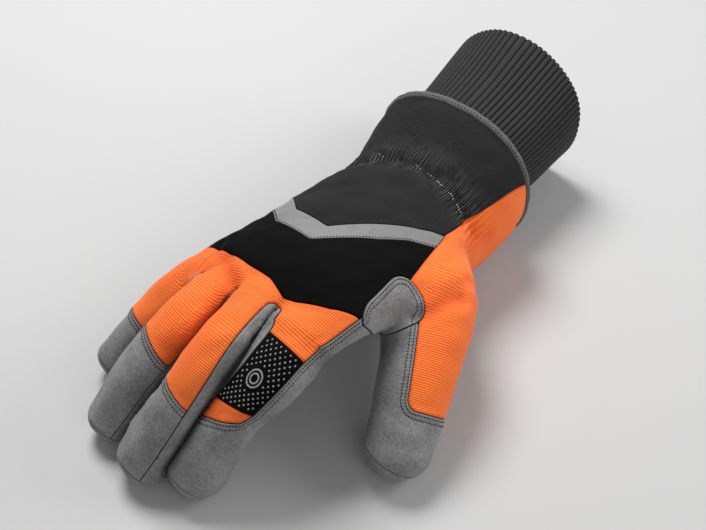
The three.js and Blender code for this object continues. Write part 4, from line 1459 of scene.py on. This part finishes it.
def paced(line, pitch):
    """Points at an even pitch along a line, and the line's direction at each."""
    arcs = arc_lengths(line)
    count = int(arcs[-1] / pitch)
    at = (np.arange(count) + 0.5) * arcs[-1] / max(count, 1)
    spots, ahead, behind = (
        np.stack([np.interp(at + shift, arcs, column) for column in line.T], 1)
        for shift in (0, pitch / 2, -pitch / 2))
    return spots, unit(ahead - behind)


def on_sheet(name, where):
    """The nearest places on a finished panel, their outward directions and edge distances."""
    place, normal, distance = SHEETS[name]
    found = nearest(place, where)
    gap = ((where - place[found]) * normal[found]).sum(1)
    return where - gap[:, None] * normal[found], normal[found], distance[found]


rows = []
for name in STITCHED:
    paths = [paced(line, STITCH_PITCH) for owner, line in STITCH_PATHS if owner == name]
    paths = [path for path in paths if len(path[0]) >= FEWEST_STITCHES]
    spots, heading = (np.vstack(part) for part in zip(*paths))
    laid, upward, _ = on_sheet(name, spots)
    rows.append(np.hstack([laid, upward, heading]))
rows = np.vstack(rows)
laid, upward, heading = np.split(rows[rows[:, 2] > CLEAR_OF_FLOOR], 3, axis=1)
pellets_on(
    "seam_stitches", laid + STITCH_LIFT * upward, upward, heading, DARK_THREAD, "grey_suede",
    Length=1.05, Width=0.72, Height=0.55)

# %% Stitches round the binding tape
BINDING_STITCH_Y, BINDING_STITCH_PITCH, LINE_POINTS = BINDING_FRONT + 1.3, 2.0, 400


def on_limb(limb, t, angle, lift=0.0):
    """Points of a limb's own skin at places along it and round it."""
    origin, along, side, up, wide, high = limb.frames(t)
    power = limb.squareness
    across, above = np.cos(angle), np.sin(angle)
    ring = np.abs(across / (wide + lift)) ** power + np.abs(above / (high + lift)) ** power
    reach = ring ** (-1 / power)
    return origin + reach[:, None] * (across[:, None] * side + above[:, None] * up)


hand = LIMBS["hand"]
tape_angle = np.linspace(0, 2 * math.pi, LINE_POINTS)
tape_t = np.full(len(tape_angle), hand.t_at(BINDING_STITCH_Y))
spots, heading = paced(on_limb(hand, tape_t, tape_angle, BINDING_PROUD), BINDING_STITCH_PITCH)
clear = spots[:, 2] > CLEAR_OF_FLOOR
spots, heading = spots[clear], heading[clear]
outward = unit((spots - hand.frames(tape_t[:1])[0]) * [1, 0, 1])
pellets_on(
    "binding_stitches", spots, outward, heading, DARK_THREAD, "binding_tape",
    Length=1.1, Width=0.6, Height=0.5)

# %% Where the touch patch's dots would lie if it had no edge
DOT_PITCH = 2.1
DOT_ROWS = np.arange(-22, 23)
PATCH_MIDDLE_T, PATCH_MIDDLE_ANGLE = 0.455, math.radians(84)
BARE_RADIUS, RING_RADII, RING_DOTS = 5.2, (2.0, 3.6), 9
index_limb = LIMBS["index"]
patch_frame = index_limb.frames(np.array([PATCH_MIDDLE_T]))
columns, rows = (grid.ravel() for grid in np.meshgrid(DOT_ROWS, DOT_ROWS))
staggered = (columns + rows) % 2 == 0
half_step = DOT_PITCH / math.sqrt(2)
along, around = columns[staggered] * half_step, rows[staggered] * half_step
outside = np.hypot(along, around) > BARE_RADIUS
along, around = along[outside], around[outside]
for radius in RING_RADII:
    turn = np.linspace(0, 2 * math.pi, int(radius * RING_DOTS), endpoint=False)
    along = np.concatenate([along, radius * np.cos(turn)])
    around = np.concatenate([around, radius * np.sin(turn)])
print("dots in the pattern:", len(along))

# %% Grip dots of the touch patch
DOT_MARGIN, DOT_REACH = 1.7, 2.5
WIDEST_TURN, LOWEST_T, HIGHEST_T = 1.6, 0.1, 0.9
dot_t = PATCH_MIDDLE_T + along / index_limb.length
dot_turn = around / patch_frame[4][0]
keep = (np.abs(dot_turn) < WIDEST_TURN) & (dot_t > LOWEST_T) & (dot_t < HIGHEST_T)
spots = on_limb(index_limb, dot_t[keep], PATCH_MIDDLE_ANGLE + dot_turn[keep])
laid, upward, distance = on_sheet("touch_patch", spots)
good = (distance > DOT_MARGIN) & (np.linalg.norm(laid - spots, axis=1) < DOT_REACH)
finger_way = np.tile(patch_frame[1], (good.sum(), 1))
pellets_on(
    "patch_grip_dots", laid[good], upward[good], finger_way, GRIP_PRINT, "black_fabric",
    Length=1.15, Width=0.95, Height=0.4)

# %% Pale specks where the elastic thread shows
SPECK_GROUPS = [(-12, 55.5), (10.5, 57.5), (16.5, 57), (24.5, 55.5), (32, 55), (38.6, 53)]
SPECKS_IN_GROUP = (-1.5, -0.5, 0.5, 1.5)
SPECK_STEP, SPECK_SLANT, SPECK_LIFT = 1.15, 0.3, 0.4
spots = []
for x, y in SPECK_GROUPS:
    for k in SPECKS_IN_GROUP:
        at = x + k * SPECK_STEP
        spots.append((at, y - SPECK_SLANT * k, np.interp(at, elastic_line[:, 0], elastic_line[:, 2])))
laid, upward, _ = on_sheet("back_knit", np.array(spots))
pellets_on(
    "elastic_specks", laid + SPECK_LIFT * upward, upward, np.tile([1.0, 0.0, 0.0], (len(laid), 1)),
    PALE_THREAD, "charcoal_knit", Length=0.75, Width=0.5, Height=0.45)

# %% [markdown]
# ## 11. Studio
# A pale floor, three large soft lamps and a dim even sky, and the camera at the angle of the
# photo. The Standard view keeps the orange as strong as it is on the real cloth.

# %% Camera
CAMERA_AZIMUTH, CAMERA_ELEVATION, CAMERA_DISTANCE = 37.0, 49.0, 0.680
CAMERA_TARGET = (np.array([3.5, 10.5, 37.5]) - GLOVE_MIDDLE) * MM
LENS, SENSOR_WIDTH = 67.16, 36
NEAREST_SEEN, FARTHEST_SEEN = 0.05, 20


def aim(made, place, way):
    """Puts a camera or a lamp at a place and turns it to look along a direction."""
    made.location = place
    made.rotation_euler = way.to_track_quat("-Z", "Y").to_euler()


camera_data = bpy.data.cameras.new("camera")
camera_data.lens, camera_data.sensor_width = LENS, SENSOR_WIDTH
azimuth, elevation = math.radians(CAMERA_AZIMUTH), math.radians(CAMERA_ELEVATION)
level = math.cos(elevation)
back_way = Vector((math.sin(azimuth) * level, -math.cos(azimuth) * level, math.sin(elevation)))
camera_data.clip_start, camera_data.clip_end = NEAREST_SEEN, FARTHEST_SEEN
camera = add_object("camera", camera_data)
aim(camera, Vector(CAMERA_TARGET) + back_way * CAMERA_DISTANCE, -back_way)
bpy.context.scene.camera = camera
print("camera", CAMERA_DISTANCE, "m away")


# %% Lamps
def lamp(name, place, size, power):
    """A round soft lamp that points at the middle of the glove."""
    light = bpy.data.lights.new(name, "AREA")
    light.shape = "DISK"
    light.size = size
    light.energy = power
    aim(add_object(name, light), place, -Vector(place))


lamp("key", (-0.45, 0.25, 0.95), 0.5, 12.5)
lamp("fill", (0.9, -0.5, 0.8), 0.9, 2.8)
lamp("rim", (0.8, 0.8, 0.7), 0.7, 7.0)
print("lamps:", len(bpy.data.lights))

# %% Sky and floor
SKY_STRENGTH = 0.25
FLOOR_SIZE, FLOOR_CLOUDS, FLOOR_GRAIN = 6, 3.0, 400.0
world = bpy.data.worlds.new("studio")
world.use_nodes = True
sky = world.node_tree.nodes["Background"].inputs
sky["Color"].default_value = (1, 1, 1, 1)
sky["Strength"].default_value = SKY_STRENGTH
bpy.context.scene.world = world
bpy.ops.mesh.primitive_plane_add(size=FLOOR_SIZE, location=(0, 0, 0))
floor = bpy.context.object
floor.name = "floor"
ground = Recipe("studio_floor", 0.8, Specular_IOR_Level=0.2)
pale = ground.mix(ground.noise(FLOOR_CLOUDS), grey(0.5), grey(0.52))
floor.data.materials.append(ground.finish(pale, ground.noise(FLOOR_GRAIN), 0.02))
bpy.context.scene.view_settings.view_transform = "Standard"
print("floor:", floor.name)
